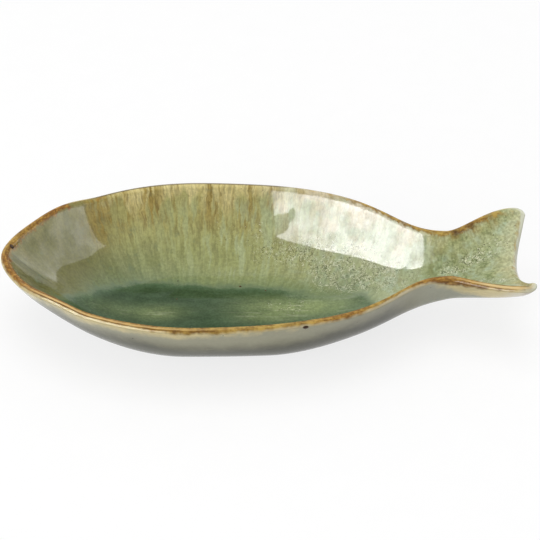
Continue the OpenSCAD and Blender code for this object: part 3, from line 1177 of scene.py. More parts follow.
@dataclass(frozen=True)
class CreamFinish:
    """Cream glaze outside, greyer towards the foot, with a trace of iron, and painted shade that darkens the lower
    outside.
    """

    cream: Colour = (0.860, 0.725, 0.365)
    stone: Colour = (0.450, 0.435, 0.300)
    # Colour of the painted shade on the lower outside.
    painted_shade: Colour = (0.120, 0.120, 0.082)
    ivory: Colour = (0.950, 0.880, 0.680)
    chalk: Colour = (0.500, 0.505, 0.390)
    fleck: Colour = (0.14, 0.09, 0.05)

    def material(self, name: str, effects: Effects) -> bpy.types.Material:
        """Builds the finish as a material, with the name and the shared effects."""
        made = Material(name, 0.2, 0.05, 0.05)
        g, place = made.graph, made.place
        away, x = -g.split(made.flow)[1], g.split(place)[0]
        cloud, grain = g.noise(place, 0.8, 4.0, 0.6), g.noise(place, 6.0, 3.0, 0.6)
        reach = away + (cloud - g.mark("yellow")) * 1.8
        # Painted shade that darkens the lower outside.
        dusk = g.step(away + cloud + g.mark("dusk"), 1.2, 3.2)
        colour = g.coats(
            g.blend(g.step(x, 12.8, 14.2), self.cream, self.ivory),
            # Greyer stone away from the lip; its darkness is partly painted shade.
            (g.step(reach, 0.1, 1.0), g.blend(g.step(x, 7.5, 9.5), self.stone, self.chalk)),
            (dusk * g.step(x, 9.0, 6.5, 0.05, 1.0), self.painted_shade),
        )
        colour = g.shaded(colour, g.step(grain, 0.3, 0.7, 0.97, 1.03))
        spots = effects.specks.use(g, Place=place, Cells=2.4, Share=0.10, Size=0.12)
        colour = g.blend(spots["Mask"] * 0.55, colour, self.fleck)
        made.feed(
            {
                "Base Color": made.ironed(colour, effects),
                "Roughness": g.step(grain, 0.3, 0.7, 0.14, 0.24),
                "Coat Weight": g.step(cloud, 0.3, 0.7, 1.1, 0.9) * g.step(away, 0.3, 2.2, 0.42, 0.06),
            }
        )
        made.bump(effects.skin.use(g, Place=place)["Height"], 0.10)
        return made.data


@dataclass(frozen=True)
class ClayFinish:
    """Bare fired stoneware, matt and speckled."""

    pale: Colour = (0.56, 0.46, 0.33)
    warm: Colour = (0.46, 0.36, 0.24)
    iron: Colour = (0.16, 0.10, 0.06)

    def material(self, name: str, effects: Effects) -> bpy.types.Material:
        """Builds the finish as a material, with the name and the shared effects."""
        made = Material(name, 0.8, 0.3, 0.3)
        g, place = made.graph, made.place
        cloud, grain = g.noise(place, 2.0, 4.0, 0.6), g.noise(place, 30.0, 3.0, 0.6)
        spots = effects.specks.use(g, Place=place, Cells=9.0, Share=0.16, Size=0.3)
        colour = g.coats(self.pale, (g.step(cloud, 0.35, 0.65), self.warm), (spots["Mask"] * 0.7, self.iron))
        made.feed({"Base Color": colour, "Roughness": g.step(grain, 0.3, 0.7, 0.7, 0.92)})
        made.bump(grain + cloud * 0.5, 0.5)
        return made.data


@dataclass(frozen=True)
class IronFinish:
    """Iron that has burst through the glaze as a dark speck."""

    dark: Colour = (0.030, 0.019, 0.012)
    rust: Colour = (0.105, 0.052, 0.022)

    def material(self, name: str) -> bpy.types.Material:
        """Builds the finish as a material with that name."""
        made = Material(name, 0.5, 0.1, 0.1)
        g, place = made.graph, made.place
        cloud = g.noise(place, 11.0, 3.0, 0.6)
        colour = g.blend(g.step(cloud, 0.4, 0.66), self.dark, self.rust)
        made.feed({"Base Color": colour, "Roughness": g.step(cloud, 0.3, 0.7, 0.25, 0.55)})
        made.bump(g.noise(place, 40.0), 0.3, 0.05)
        return made.data


@dataclass(frozen=True)
class Run:
    """A place where iron ran down from the rim: where along the dish, how wide, how far and how strongly."""

    x: float
    width: float
    reach: float
    depth: float


@dataclass(frozen=True)
class Spot:
    """A soft oval patch in plan: its middle, half sizes and strength."""

    x: float
    y: float
    half_l: float
    half_w: float
    strength: float

    def over(self, points: np.ndarray) -> np.ndarray:
        """How strongly the patch covers each point."""
        along, across = (points[:, 0] - self.x) / self.half_l, (points[:, 1] - self.y) / self.half_w
        return self.strength * np.exp(-(along**2 + across**2))


@dataclass(frozen=True)
class Stretch:
    """The iron at one place along the rim: how much, how far it reaches in and out, and how burnt it is."""

    x: float
    iron: float
    reach: float
    drip: float
    burnt: float = 0.0


def spread(spots: tuple[Spot, ...], points: np.ndarray) -> np.ndarray:
    """How strongly some patches together cover each point."""
    return clamp(sum(one.over(points) for one in spots))


def read(table: Table, x: np.ndarray) -> np.ndarray:
    """A table's values at places along the dish."""
    return np.interp(x, *zip(*table))


@dataclass
class RimMarks:
    """How the glazes change along the dish, from the lip: places in millimetres, reaches in centimetres."""

    far: tuple[Stretch, ...] = (
        Stretch(-150, 1.00, 0.46, 0.30, 0.40),
        Stretch(-140, 0.95, 0.40, 0.30, 0.35),
        Stretch(-128, 0.92, 0.36, 0.30, 0.70),
        Stretch(-118, 0.90, 0.28, 0.30, 0.95),
        Stretch(-110, 0.56, 0.18, 0.28, 0.60),
        Stretch(-60, 0.45, 0.12, 0.28, 0.40),
        Stretch(0, 0.45, 0.12, 0.28, 0.40),
        Stretch(30, 0.50, 0.10, 0.25, 0.30),
        Stretch(60, 0.80, 0.14, 0.30, 0.20),
        Stretch(86, 0.86, 0.20, 0.30, 0.30),
        Stretch(100, 0.76, 0.30, 0.30, 0.10),
        Stretch(118, 0.88, 0.28, 0.30, 0.40),
        Stretch(132, 0.68, 0.32, 0.25, 0.10),
        Stretch(144, 0.45, 0.28, 0.20),
        Stretch(150, 0.10, 0.10, 0.10),
    )
    near: tuple[Stretch, ...] = (
        Stretch(-150, 1.00, 0.44, 0.24, 0.80),
        Stretch(-134, 1.00, 0.38, 0.20, 0.90),
        Stretch(-118, 1.00, 0.34, 0.16, 0.80),
        Stretch(-95, 1.00, 0.32, 0.16, 0.60),
        Stretch(-70, 1.00, 0.28, 0.20, 0.50),
        Stretch(-50, 1.00, 0.28, 0.29, 0.30),
        Stretch(-38, 1.00, 0.28, 0.32, 0.30),
        Stretch(-10, 1.00, 0.28, 0.27, 0.20),
        Stretch(20, 0.95, 0.26, 0.20, 0.10),
        Stretch(34, 1.00, 0.28, 0.26, 0.60),
        Stretch(48, 1.00, 0.26, 0.28, 0.70),
        Stretch(60, 0.90, 0.24, 0.22, 0.20),
        Stretch(76, 0.85, 0.22, 0.12, 0.20),
        Stretch(92, 1.00, 0.24, 0.24, 0.80),
        Stretch(104, 1.05, 0.28, 0.50, 0.65),
        Stretch(120, 1.00, 0.28, 0.30, 0.50),
        Stretch(136, 0.95, 0.26, 0.24, 0.50),
        Stretch(146, 0.60, 0.20, 0.16, 0.30),
        Stretch(150, 0.15, 0.10, 0.10),
    )
    end: Stretch = Stretch(0, 0.62, 0.22, 0.06)
    stains: tuple[Spot, ...] = (
        Spot(109, 21.4, 2.2, 1.8, 1.0),
        Spot(118.5, 26.6, 2.2, 1.8, 0.8),
        Spot(144.5, -37, 3, 2, 0.7),
        Spot(143.5, -26.5, 2, 3, 0.5),
        Spot(146.5, -31, 2.5, 2.5, 0.6),
    )
    # How far the cream reaches down the outside, along the dish, before the greyer stone, which is partly painted
    # shade.
    yellow: Table = (
        (-150, 0.45), (-118, 0.48), (-95, 0.50), (-66, 0.45), (-38, 0.5), (-20, 0.42),
        (20, 0.2), (60, -0.05), (90, 0.2), (120, 1.0), (150, 1.1),
    )
    # How early the painted shade on the lower outside starts, along the dish.
    dusk: Table = (
        (-150, 0.9), (-118, 0.8), (-95, 0.35), (-66, 0.3), (-45, -0.4), (-20, -0.5),
        (5, -0.2), (20, 0.0), (40, 0.55), (60, 0.8),
    )
    gloss: Table = (
        (-150, 0.2), (-134, 0.29), (-122, 0.54), (-112, 0.70), (-60, 0.5), (0, 0.52),
        (35, 0.72), (65, 1.0), (95, 1.0),
    )
    # Painted reflection on the far wall: its strength at places along the rim.
    painted_reflection: Table = ((-5, 0.0), (12, 0.5), (40, 0.75), (84, 0.8), (93, 0.0))
    # Painted highlight along the near lip's crown: its strength at places along the rim.
    crest: Table = (
        (-138, 0.0), (-128, 0.8), (-118, 1.25), (-95, 1.0), (-60, 0.8), (-35, 0.45),
        (-10, 0.1), (98, 0.0), (114, 0.9), (138, 0.9), (147, 0.2),
    )
    lobe: tuple[float, float] = (138.0, 147.0)
    pale: tuple[float, float] = (-20.0, 75.0)
    # Painted shade at the nose: the first range darkens the whole nose end and calms its runs, the second darkens its
    # lower walls.
    dull: tuple[float, float] = (-108.0, -76.0)
    nose_shade: tuple[float, float] = (-105.0, -40.0)
    # Painted shade along the crease in the nose: its ends in plan, and its width.
    crease_shade: tuple[tuple[float, float], tuple[float, float]] = ((-143.0, 3.2), (-123.0, -0.8))
    crease_shade_w: float = 0.55
    # Painted shade line along the far lip's outer edge: where it starts and ends along the dish, and how far it fades
    # in.
    line: tuple[float, float] = (-108.0, 6.0)
    shade_line_fade: float = 12.0

    def apply(self, maker: MeshMaker, points: np.ndarray, rim_x: np.ndarray, fork: np.ndarray) -> None:
        """Puts the marks on the points of a piece.

        Args:
            maker: The piece.
            points: Its points, in millimetres.
            rim_x: Where along the dish the closest place of the rim lies.
            fork: How far that place lies into the fork of the tail.
        """
        x, near = points[:, 0], points[:, 1] < 0
        for name in ("iron", "reach", "drip", "burnt"):
            sides = ([(one.x, getattr(one, name)) for one in side] for side in (self.near, self.far))
            value = np.where(near, *(read(side, rim_x) for side in sides))
            maker.mark(name, value + (getattr(self.end, name) - value) * fork)
        for name in ("yellow", "dusk", "gloss"):
            maker.mark(name, read(getattr(self, name), x))
        maker.mark("fork", np.maximum(fork, ease(*self.lobe, rim_x)))
        maker.mark("tail", ease(*self.pale, x))
        # The next two marks carry the painted shade at the nose.
        maker.mark("head", 1 - ease(*self.dull, x))
        maker.mark("nose_shade", 1 - ease(*self.nose_shade, x))
        # Painted shade along the crease of the nose.
        maker.mark("crease_shade", self.crease_shading(x, points[:, 1]))
        # Painted shade line along the far lip's outer edge, on the far side only.
        start, end = (ease(place, place + self.shade_line_fade, x) for place in self.line)
        maker.mark("line", np.where(near, 0.0, start * (1 - end)))
        # Where the painted highlight on the near lip shows.
        maker.mark("crest", np.where(near, read(self.crest, rim_x), 0.0) * (1 - fork))
        maker.mark("stain", spread(self.stains, points))
        # The painted reflection shows on the far side only.
        maker.mark("painted_reflection", np.where(near, 0.0, read(self.painted_reflection, rim_x)))

    def crease_shading(self, x: np.ndarray, y: np.ndarray) -> np.ndarray:
        """How strongly the painted shade along the crease in the nose, and the painted shade on its near side, show
        at places in plan.
        """
        (start, high), (end, low) = self.crease_shade
        off = y - np.interp(x, (start, end), (high, low))
        line = np.exp(-((off / self.crease_shade_w) ** 2)) * ease(start - 4, start + 2, x)
        return np.maximum(line, 0.5 * (1 - ease(-2.0, 2.0, off))) * (1 - ease(end - 6, end + 4, x))


@dataclass
class WellMarks:
    """Where the runs, the pool, the paler patches in it and the crystals lie in the well."""

    runs: tuple[Run, ...] = (
        Run(-99, 10, 36, 0.95),
        Run(-86, 7, 30, 0.80),
        Run(-69, 10, 31, 0.95),
        Run(-52, 6, 20, 0.70),
        Run(-32, 8, 33, 0.90),
        Run(-18, 4, 18, 0.50),
        Run(-10, 6, 35, 0.85),
        Run(4, 5, 18, 0.80),
        Run(20, 5, 12, 0.60),
        Run(41, 6, 10, 0.50),
        Run(107, 3, 7, 0.80),
        Run(118, 5, 10, 0.60),
        Run(130, 5, 12, 0.45),
    )
    run_full: float = 0.45
    pool: Table = (
        (-117, -9), (-108, 1), (-98, 8.5), (-90, 14), (-82, 18), (-72, 21), (-62, 20.6), (-54, 20), (-46, 21),
        (-38, 18.8), (-30, 16.4), (-16, 16.6), (8, 15.6), (18, 12.8), (42, 8.6), (56, 5.5), (62, -2), (70, -20),
    )
    pool_soft: float = 9.0
    pool_near: float = -18.0
    pool_head: tuple[float, float] = (-128.0, -84.0)
    pool_thin: tuple[float, float] = (-5.0, 45.0)
    pool_end: tuple[float, float] = (56.0, 74.0)
    shore_head: tuple[float, float] = (-122.0, -92.0)
    shore_end: tuple[float, float] = (48.0, 76.0)
    pool_bend: float = 0.55
    pool_dab: Spot = Spot(54, 2.5, 5, 3, 0.35)
    shore: tuple[float, float] = (-4.0, 28.0)
    # Paler patches in the pool.
    pale_patch: tuple[Spot, ...] = (
        Spot(-61, -5, 14, 6.5, 0.60),
        Spot(-86, -4, 20, 7, 0.28),
        Spot(6, 0, 23, 8.5, 0.78),
        Spot(34, 1, 20, 9, 0.8),
        Spot(0, -10, 18, 5, 0.4),
    )
    matt: tuple[Spot, ...] = (
        Spot(6.5, 53.2, 8, 3.2, 1.0),
        Spot(15.5, 55.6, 2.4, 1.6, 0.8),
        Spot(79, 14.2, 3.6, 1.3, 0.6),
    )
    # Where the crystals, partly painted glints, crowd.
    sparks: tuple[Spot, ...] = (
        Spot(9, 43, 14, 9, 0.75),
        Spot(26, 41, 12, 8, 0.8),
        Spot(38, 33, 16, 11, 1.0),
        Spot(52, 26, 16, 11, 1.0),
        Spot(66, 16, 14, 9, 0.9),
        Spot(80, 8, 14, 8, 0.8),
        Spot(45, 18, 20, 10, 0.7),
        Spot(-26, 55, 9, 6, 0.55),
        Spot(-6, 54, 6, 7, 0.5),
        Spot(-22, 47, 9, 5, 0.4),
        Spot(-3, 44, 8, 8, 0.45),
        Spot(108, 7, 10, 4.5, 1.2),
        Spot(120, 11, 10, 5.5, 1.3),
        Spot(133, 17, 9, 5.5, 1.3),
        Spot(12, 3, 18, 5, 0.7),
    )
    near_shift: float = 17.0
    near_sparks: float = 0.8

    def apply(self, maker: MeshMaker, points: np.ndarray, flow: np.ndarray, rim_x: np.ndarray) -> None:
        """Puts the marks on the points of a piece.

        Args:
            maker: The piece.
            points: Its points, in millimetres.
            flow: Their places on the flow map, in centimetres.
            rim_x: Where along the dish each point's glaze ran from.
        """
        x, y, down = points[:, 0], points[:, 1], flow[:, 1] * 10
        shift = np.where(y < 0, self.near_shift, 0.0)
        run = np.zeros(len(points))
        for one in self.runs:
            across = np.exp(-(((rim_x - one.x - shift) / one.width) ** 2))
            run = np.maximum(run, one.depth * across * (1 - ease(one.reach * self.run_full, one.reach, down)))
        maker.mark("run", run)
        line = np.mean([read(self.pool, x + slip) for slip in (-5, -2.5, 0, 2.5, 5)], axis=0)
        near = self.pool_near - self.pool_bend * np.maximum(line, 0)
        depth = ease(-self.pool_soft, self.pool_soft, line - y) * ease(-5, 5, y - near)
        depth = depth * ease(*self.pool_head, x - 0.5 * y) * (1 - 0.5 * ease(*self.pool_thin, x))
        depth = depth * (1 - ease(*self.pool_end, x))
        maker.mark("pool", depth + self.pool_dab.over(points))
        beyond = 1 - ease(*self.shore, np.maximum(y - line, near - y))
        maker.mark("shore", beyond * ease(*self.shore_head, x) * (1 - ease(*self.shore_end, x)))
        maker.mark("matt", spread(self.matt, points))
        maker.mark("pale_patch", spread(self.pale_patch, points))
        mirrored = points * np.array([1.0, -1.0, 1.0])
        both = sum(one.over(points) + self.near_sparks * one.over(mirrored) for one in self.sparks)
        maker.mark("spark", clamp(both))


@dataclass
class Coat:
    """A coat of glaze on the dish, with the marks that its finish reads."""

    shell: Shell
    rim: RimMarks
    marks: WellMarks | None = None
    name: str = "coat"

    def show(
        self, maker: MeshMaker, quads: np.ndarray, points: np.ndarray, normals: np.ndarray, flow: np.ndarray
    ) -> None:
        """Adds the faces that show, with the flow map and the marks.

        Args:
            maker: The piece.
            quads: Four point numbers for each face.
            points: The points that show, in millimetres.
            normals: Their normals.
            flow: Their places on the flow map.
        """
        shell = self.shell
        maker.add_quads(quads, normals[quads], shell.signed(flow, quads, points))
        rim_x = shell.rim_x(flow)
        if self.marks:
            self.marks.apply(maker, points, flow, rim_x)
        self.rim.apply(maker, points, rim_x, shell.fork(flow))

    def lining(self, shown: Layer, hidden: Layer, upward: bool) -> MeshMaker:
        """A coat between a skin that shows and the clay.

        Args:
            shown: The skin that shows.
            hidden: The skin of the clay.
            upward: Whether the coat looks up or down.

        Returns:
            The piece, with all its faces.
        """
        shell = self.shell
        maker = MeshMaker(self.name)
        points = shell.flat(shown)
        face, back = maker.add_points(points), maker.add_points(shell.skins[hidden])
        normals, flow = (shell.normal_in, shell.flow_in) if upward else (shell.normal_out, shell.flow_out)
        self.show(maker, grid_quads(shell.rows, shell.columns, face, upward), points, normals, flow)
        maker.add_quads(grid_quads(shell.rows, shell.columns, back, not upward))
        rings = (face + shell.edge, back + shell.edge)
        maker.add_quads(strip_quads(*(rings if upward else rings[::-1])))
        return maker


@dataclass
class WellGlaze(Coat):
    """The green coat inside the dish."""

    name: str = "inner_glaze"

    def build(self, material: bpy.types.Material) -> bpy.types.Object:
        """Builds the coat between the inside of the dish and the clay."""
        return self.lining(Layer.INSIDE, Layer.CLAY_IN, True).build(material)


@dataclass
class OuterGlaze(Coat):
    """The cream coat outside the dish."""

    name: str = "outer_glaze"

    def build(self, material: bpy.types.Material) -> bpy.types.Object:
        """Builds the coat between the clay and the outside of the dish."""
        return self.lining(Layer.OUTSIDE, Layer.CLAY_OUT, False).build(material)


@dataclass
class PoolGlaze(Coat):
    """The dark glaze that ran together on the floor of the well."""

    length: float = 80.0
    width: float = 47.0
    height: float = 1.2
    edge: float = 0.03
    sunk: float = 0.2
    cells: int = 72
    name: str = "pool_glaze"

    def rise(self, x: np.ndarray, y: np.ndarray) -> np.ndarray:
        """How high the pool stands at places of its lens, given from -1 to 1."""
        return self.edge + (self.height - self.edge) * clamp(1 - x * x - y * y) ** 1.5

    def lift(self, x: float, y: float) -> float:
        """How high the pool stands over the floor at a place, or nothing beside it."""
        a, b = (x - self.shell.form.floor_x) / (self.length / 2), y / (self.width / 2)
        return float(self.rise(a, b)) if a * a + b * b < 1 else 0.0

    def build(self, material: bpy.types.Material) -> bpy.types.Object:
        """Builds the pool as a low lens, with the flow map and the marks of the well."""
        form = self.shell.form
        line = np.linspace(-1, 1, self.cells + 1)
        a, b = np.meshgrid(line, line, indexing="ij")
        x, y = a * np.sqrt(1 - b * b / 2), b * np.sqrt(1 - a * a / 2)
        high = form.floor_z + self.rise(x, y)
        top = np.stack([form.floor_x + x * self.length / 2, y * self.width / 2, high], -1)
        base = top.copy()
        base[..., 2] = form.floor_z - self.sunk
        points = top.reshape(-1, 3)
        maker = MeshMaker(self.name)
        first, under = maker.add_points(top), maker.add_points(base)
        count = self.cells + 1
        quads = grid_quads(count, count, first, True)
        flow = self.shell.flow_of(points, self.shell.lip_face, 1.0)
        self.show(maker, quads, points, point_normals(points, quads), flow)
        maker.add_quads(grid_quads(count, count, under, False))
        edge = edge_numbers(count, count)
        maker.add_quads(strip_quads(first + edge, under + edge))
        return maker.build(material)


@dataclass
class RimGlaze(Coat):
    """The brown coat over the lip."""

    name: str = "rim_glaze"

    def build(self, material: bpy.types.Material) -> bpy.types.Object:
        """Builds the coat as a closed band round the lip."""
        shell = self.shell
        maker = MeshMaker(self.name)
        face = shell.lip_face.reshape(-1, 3)
        maker.add_points(face)
        maker.add_points(shell.lip_clay[::-1])
        count = shell.cells.lip + 1
        rows = np.arange(2 * count * len(shell.edge)).reshape(2 * count, -1)
        strips = [strip_quads(row, after) for row, after in zip(rows, np.roll(rows, -1, axis=0))]
        shown, hidden = np.vstack(strips[: count - 1]), np.vstack(strips[count - 1 :])
        self.show(maker, shown, face, shell.normal_lip.reshape(-1, 3), shell.flow_lip.reshape(-1, 2))
        maker.add_quads(hidden)
        return maker.build(material)


@dataclass
class ClayBody:
    """The stoneware shell under the glaze."""

    shell: Shell
    name: str = "clay_body"

    def build(self, material: bpy.types.Material) -> bpy.types.Object:
        """Builds the closed shell with its rounded lip."""
        shell = self.shell
        maker = MeshMaker(self.name)
        top = maker.add_points(shell.skins[Layer.CLAY_IN])
        under = maker.add_points(shell.skins[Layer.CLAY_OUT])
        quads = np.vstack(shell.closed(top, under, maker.add_points(shell.lip_clay[1:-1]))[0])
        normals = point_normals(np.vstack(maker.points), quads)
        maker.add_quads(quads, normals[quads])
        return maker.build(material)


class NodeTool:
    """A geometry node tree with named inputs, run once on a mesh."""

    def __init__(self, name: str, inputs: dict[str, object]) -> None:
        """Makes the tree.

        Args:
            name: Its name.
            inputs: Named inputs with their values: numbers, or a material.
        """
        self.tree = bpy.data.node_groups.new(name, "GeometryNodeTree")
        self.tree.interface.new_socket("Geometry", in_out="INPUT", socket_type="NodeSocketGeometry")
        self.values: dict[str, object] = {}
        kinds = {int: "NodeSocketInt", float: VALUE, bpy.types.Material: "NodeSocketMaterial"}
        for key, value in inputs.items():
            socket = self.tree.interface.new_socket(key, in_out="INPUT", socket_type=kinds[type(value)])
            self.values[socket.identifier] = value
        self.tree.interface.new_socket("Geometry", in_out="OUTPUT", socket_type="NodeSocketGeometry")
        self.graph = Graph(self.tree)
        self.given = self.graph.terms(self.graph.node("NodeGroupInput"))

    def end(self, geometry: Term) -> None:
        """Smooths and realizes the geometry, gives it the material and ends the tree."""
        soft = self.graph.term("GeometryNodeSetShadeSmooth", {"Geometry": geometry})
        real = self.graph.term("GeometryNodeRealizeInstances", {0: soft})
        painted = {"Geometry": real, "Material": self.given["Material"]}
        self.graph.node("NodeGroupOutput", {0: self.graph.term("GeometryNodeSetMaterial", painted)})

    def run(self, name: str, mesh: bpy.types.Mesh) -> bpy.types.Object:
        """Runs the tree on a mesh and makes a plain piece of the result.

        Args:
            name: Name of the piece.
            mesh: What the tree starts from.

        Returns:
            The piece, with no modifier left.
        """
        holder = link(name + "_source", mesh)
        modifier = holder.modifiers.new(self.tree.name, "NODES")
        modifier.node_group = self.tree
        for identifier, value in self.values.items():
            modifier[identifier] = value
        view = bpy.context.evaluated_depsgraph_get()
        plain = bpy.data.meshes.new_from_object(holder.evaluated_get(view))
        plain.name = name
        holder.modifiers.clear()
        bpy.data.objects.remove(holder)
        return link(name, plain)


@dataclass
class FootRing:
    """The unglazed ring that the dish stands on."""

    form: DishForm
    length: float = 82.0
    width: float = 49.0
    band: float = 5.0
    edge_r: float = 0.8
    points: int = 144
    corner: int = 4
    name: str = "foot_ring"

    def build(self, material: bpy.types.Material) -> bpy.types.Object:
        """Sweeps the ring's rounded section round its oval."""
        inputs = {
            "Length": (self.length - self.band) * MM,
            "Width": (self.width - self.band) * MM,
            "Band": self.band * MM,
            "Height": self.form.foot_h * MM,
            "Edge": self.edge_r * MM,
            "Points": self.points,
            "Middle": self.form.floor_x * MM,
            "Material": material,
        }
        tool = NodeTool("foot_ring_sweep", inputs)
        g, given = tool.graph, tool.given
        circle = g.term("GeometryNodeCurvePrimitiveCircle", {"Resolution": given["Points"], "Radius": 0.5})
        size = g.term("ShaderNodeCombineXYZ", {0: given["Length"], 1: given["Width"], 2: 1.0})
        place = g.term("ShaderNodeCombineXYZ", {0: given["Middle"], 1: 0.0, 2: given["Height"] * 0.5})
        oval = g.term("GeometryNodeTransform", {"Geometry": circle, "Translation": place, "Scale": size})
        sizes = {"Width": given["Band"], "Height": given["Height"]}
        section = g.term("GeometryNodeCurvePrimitiveQuadrilateral", sizes)
        corners = {"Curve": section, "Count": self.corner, "Radius": given["Edge"]}
        rounded = g.term("GeometryNodeFilletCurve", corners, mode="POLY")
        tool.end(g.term("GeometryNodeCurveToMesh", {"Curve": oval, "Profile Curve": rounded}))
        return tool.run(self.name, bpy.data.meshes.new("foot_ring_start"))


class Side(Enum):
    """Which coat a speck sits on."""

    WELL = "well"
    RIM = "rim"
    OUTSIDE = "outside"


@dataclass(frozen=True)
class Speck:
    """A listed speck: its coat, its place in plan and its radius."""

    side: Side
    x: float
    y: float
    radius: float


@dataclass
class IronSpecks:
    """Dark specks of iron that stand a little out of the glaze."""

    shell: Shell
    pool: PoolGlaze
    placed: tuple[Speck, ...] = (
        Speck(Side.OUTSIDE, 22.0, -66.6, 1.7),
        Speck(Side.OUTSIDE, -72.4, -60.6, 0.50),
        Speck(Side.OUTSIDE, -21.8, -69.4, 0.35),
        Speck(Side.OUTSIDE, -56.1, -61.7, 0.30),
        Speck(Side.OUTSIDE, 50.4, -50.9, 0.28),
        Speck(Side.WELL, -14.8, 18.9, 0.80),
        Speck(Side.WELL, -1.9, 16.0, 0.55),
        Speck(Side.WELL, -52.5, 8.5, 0.62),
        Speck(Side.WELL, -52.5, 25.5, 0.50),
        Speck(Side.WELL, 125.5, 18.5, 0.42),
        Speck(Side.WELL, 131.0, 23.0, 0.36),
        Speck(Side.WELL, 122.0, 16.0, 0.36),
        Speck(Side.RIM, -144.5, 7.5, 1.6),
    )
    density: float = 520.0
    smallest: float = 0.12
    largest: float = 0.34
    flat: float = 0.3
    narrow: float = 0.8
    foot_gap: float = 2.0
    seed: int = 11
    name: str = "iron_specks"

    def spots(self) -> tuple[np.ndarray, np.ndarray, np.ndarray]:
        """Places, normals and radii of the listed specks."""
        shell = self.shell
        sources = {
            Side.WELL: (shell.flat(Layer.INSIDE), shell.normal_in),
            Side.OUTSIDE: (shell.flat(Layer.OUTSIDE), shell.normal_out),
            Side.RIM: (shell.lip_face.reshape(-1, 3), shell.normal_lip.reshape(-1, 3)),
        }
        points, normals = [], []
        for one in self.placed:
            places, looks = sources[one.side]
            near = np.hypot(places[:, 0] - one.x, places[:, 1] - one.y).argmin()
            lift = self.pool.lift(one.x, one.y) if one.side is Side.WELL else 0.0
            points.append(places[near] + np.array([0.0, 0.0, lift]))
            normals.append(looks[near])
        return np.array(points), np.array(normals), np.array([one.radius for one in self.placed])

    def start(self) -> bpy.types.Mesh:
        """The outside of the dish with the listed places as loose points."""
        shell = self.shell
        outside = shell.flat(Layer.OUTSIDE)
        points, normals, radii = self.spots()
        quads = grid_quads(shell.rows, shell.columns, 0, False)
        quads = quads[outside[quads][:, :, 2].min(1) > shell.form.foot_h + self.foot_gap]
        mesh = bpy.data.meshes.new("iron_specks_start")
        mesh.from_pydata((np.vstack([outside, points]) * MM).tolist(), [], quads.tolist())
        size = np.concatenate([np.zeros(len(outside)), radii * MM]).astype(np.float32)
        mesh.attributes.new("speck_size", "FLOAT", "POINT").data.foreach_set("value", size)
        look = np.vstack([np.zeros_like(outside), normals]).astype(np.float32)
        mesh.attributes.new("speck_look", "FLOAT_VECTOR", "POINT").data.foreach_set("vector", look.ravel())
        return mesh

    def build(self, material: bpy.types.Material) -> bpy.types.Object:
        """Scatters small flat beads over the outside and sets the listed ones."""
        inputs = {
            "Density": self.density,
            "Smallest": self.smallest * MM,
            "Largest": self.largest * MM,
            "Flatness": self.flat,
            "Seed": self.seed,
            "Material": material,
        }
        tool = NodeTool("iron_speck_scatter", inputs)
        g, given = tool.graph, tool.given
        kind = "GeometryNodeInputNamedAttribute"
        size = g.term(kind, {"Name": "speck_size"}, data_type="FLOAT")
        look = g.term(kind, {"Name": "speck_look"}, data_type="FLOAT_VECTOR")
        bead = g.term("GeometryNodeMeshIcoSphere", {"Radius": 1.0, "Subdivisions": 2})
        where = {"Mesh": given["Geometry"], "Density": given["Density"], "Seed": given["Seed"]}
        strewn = g.terms(g.node("GeometryNodeDistributePointsOnFaces", where))
        bounds = {"Min": given["Smallest"], "Max": given["Largest"], "Seed": given["Seed"]}
        chance = g.node("FunctionNodeRandomValue", bounds, data_type="FLOAT").outputs
        radius = Term(g, next(socket for socket in chance if socket.enabled))
        held = g.term("FunctionNodeCompare", {0: size, 1: 0.0}, data_type="FLOAT", operation="GREATER_THAN")
        loose = g.term("GeometryNodeMeshToPoints", {"Mesh": given["Geometry"], "Selection": held})
        turned = g.term("FunctionNodeAlignRotationToVector", {"Vector": look}, axis="Z")
        joined = g.node("GeometryNodeJoinGeometry")
        crowds = ((strewn["Points"], strewn["Rotation"], radius), (loose, turned, size))
        for points, rotation, large in crowds:
            scale = {0: large, 1: large * self.narrow, 2: large * given["Flatness"]}
            scale = g.term("ShaderNodeCombineXYZ", scale)
            values = {"Points": points, "Instance": bead, "Rotation": rotation, "Scale": scale}
            tool.tree.links.new(g.term("GeometryNodeInstanceOnPoints", values).socket, joined.inputs[0])
        tool.end(Term(g, joined.outputs[0]))
        return tool.run(self.name, self.start())


@dataclass(frozen=True)
class Panel:
    """An upright light panel beside the dish, which either shows in the glaze or lights the dish.

    Its turn is the way from the dish that it stands, in degrees, its gap how far away its plane
    is, and its sides where its two edges lie along that plane, in metres.
    """

    name: str
    turn: float
    sides: tuple[float, float]
    top: float
    glow: float
    glossy: bool
    gap: float = 1.1

    def build(self) -> None:
        """Makes the lamp and stands it on the floor."""
        angle = math.radians(self.turn)
        out = Vector((math.cos(angle), math.sin(angle), 0.0))
        along = Vector((-out.y, out.x, 0.0))
        width = self.sides[1] - self.sides[0]
        lamp = bpy.data.lights.new(self.name, "AREA")
        lamp.shape = "RECTANGLE"
        lamp.size, lamp.size_y = width, self.top
        lamp.energy = self.glow * math.pi * width * self.top
        holder = link(self.name, lamp)
        holder.location = out * self.gap + along * (sum(self.sides) / 2) + Vector((0, 0, self.top / 2))
        holder.rotation_euler = (-out).to_track_quat("-Z", "Y").to_euler()
        holder.visible_camera = False
        holder.visible_glossy = self.glossy
        holder.visible_diffuse = not self.glossy


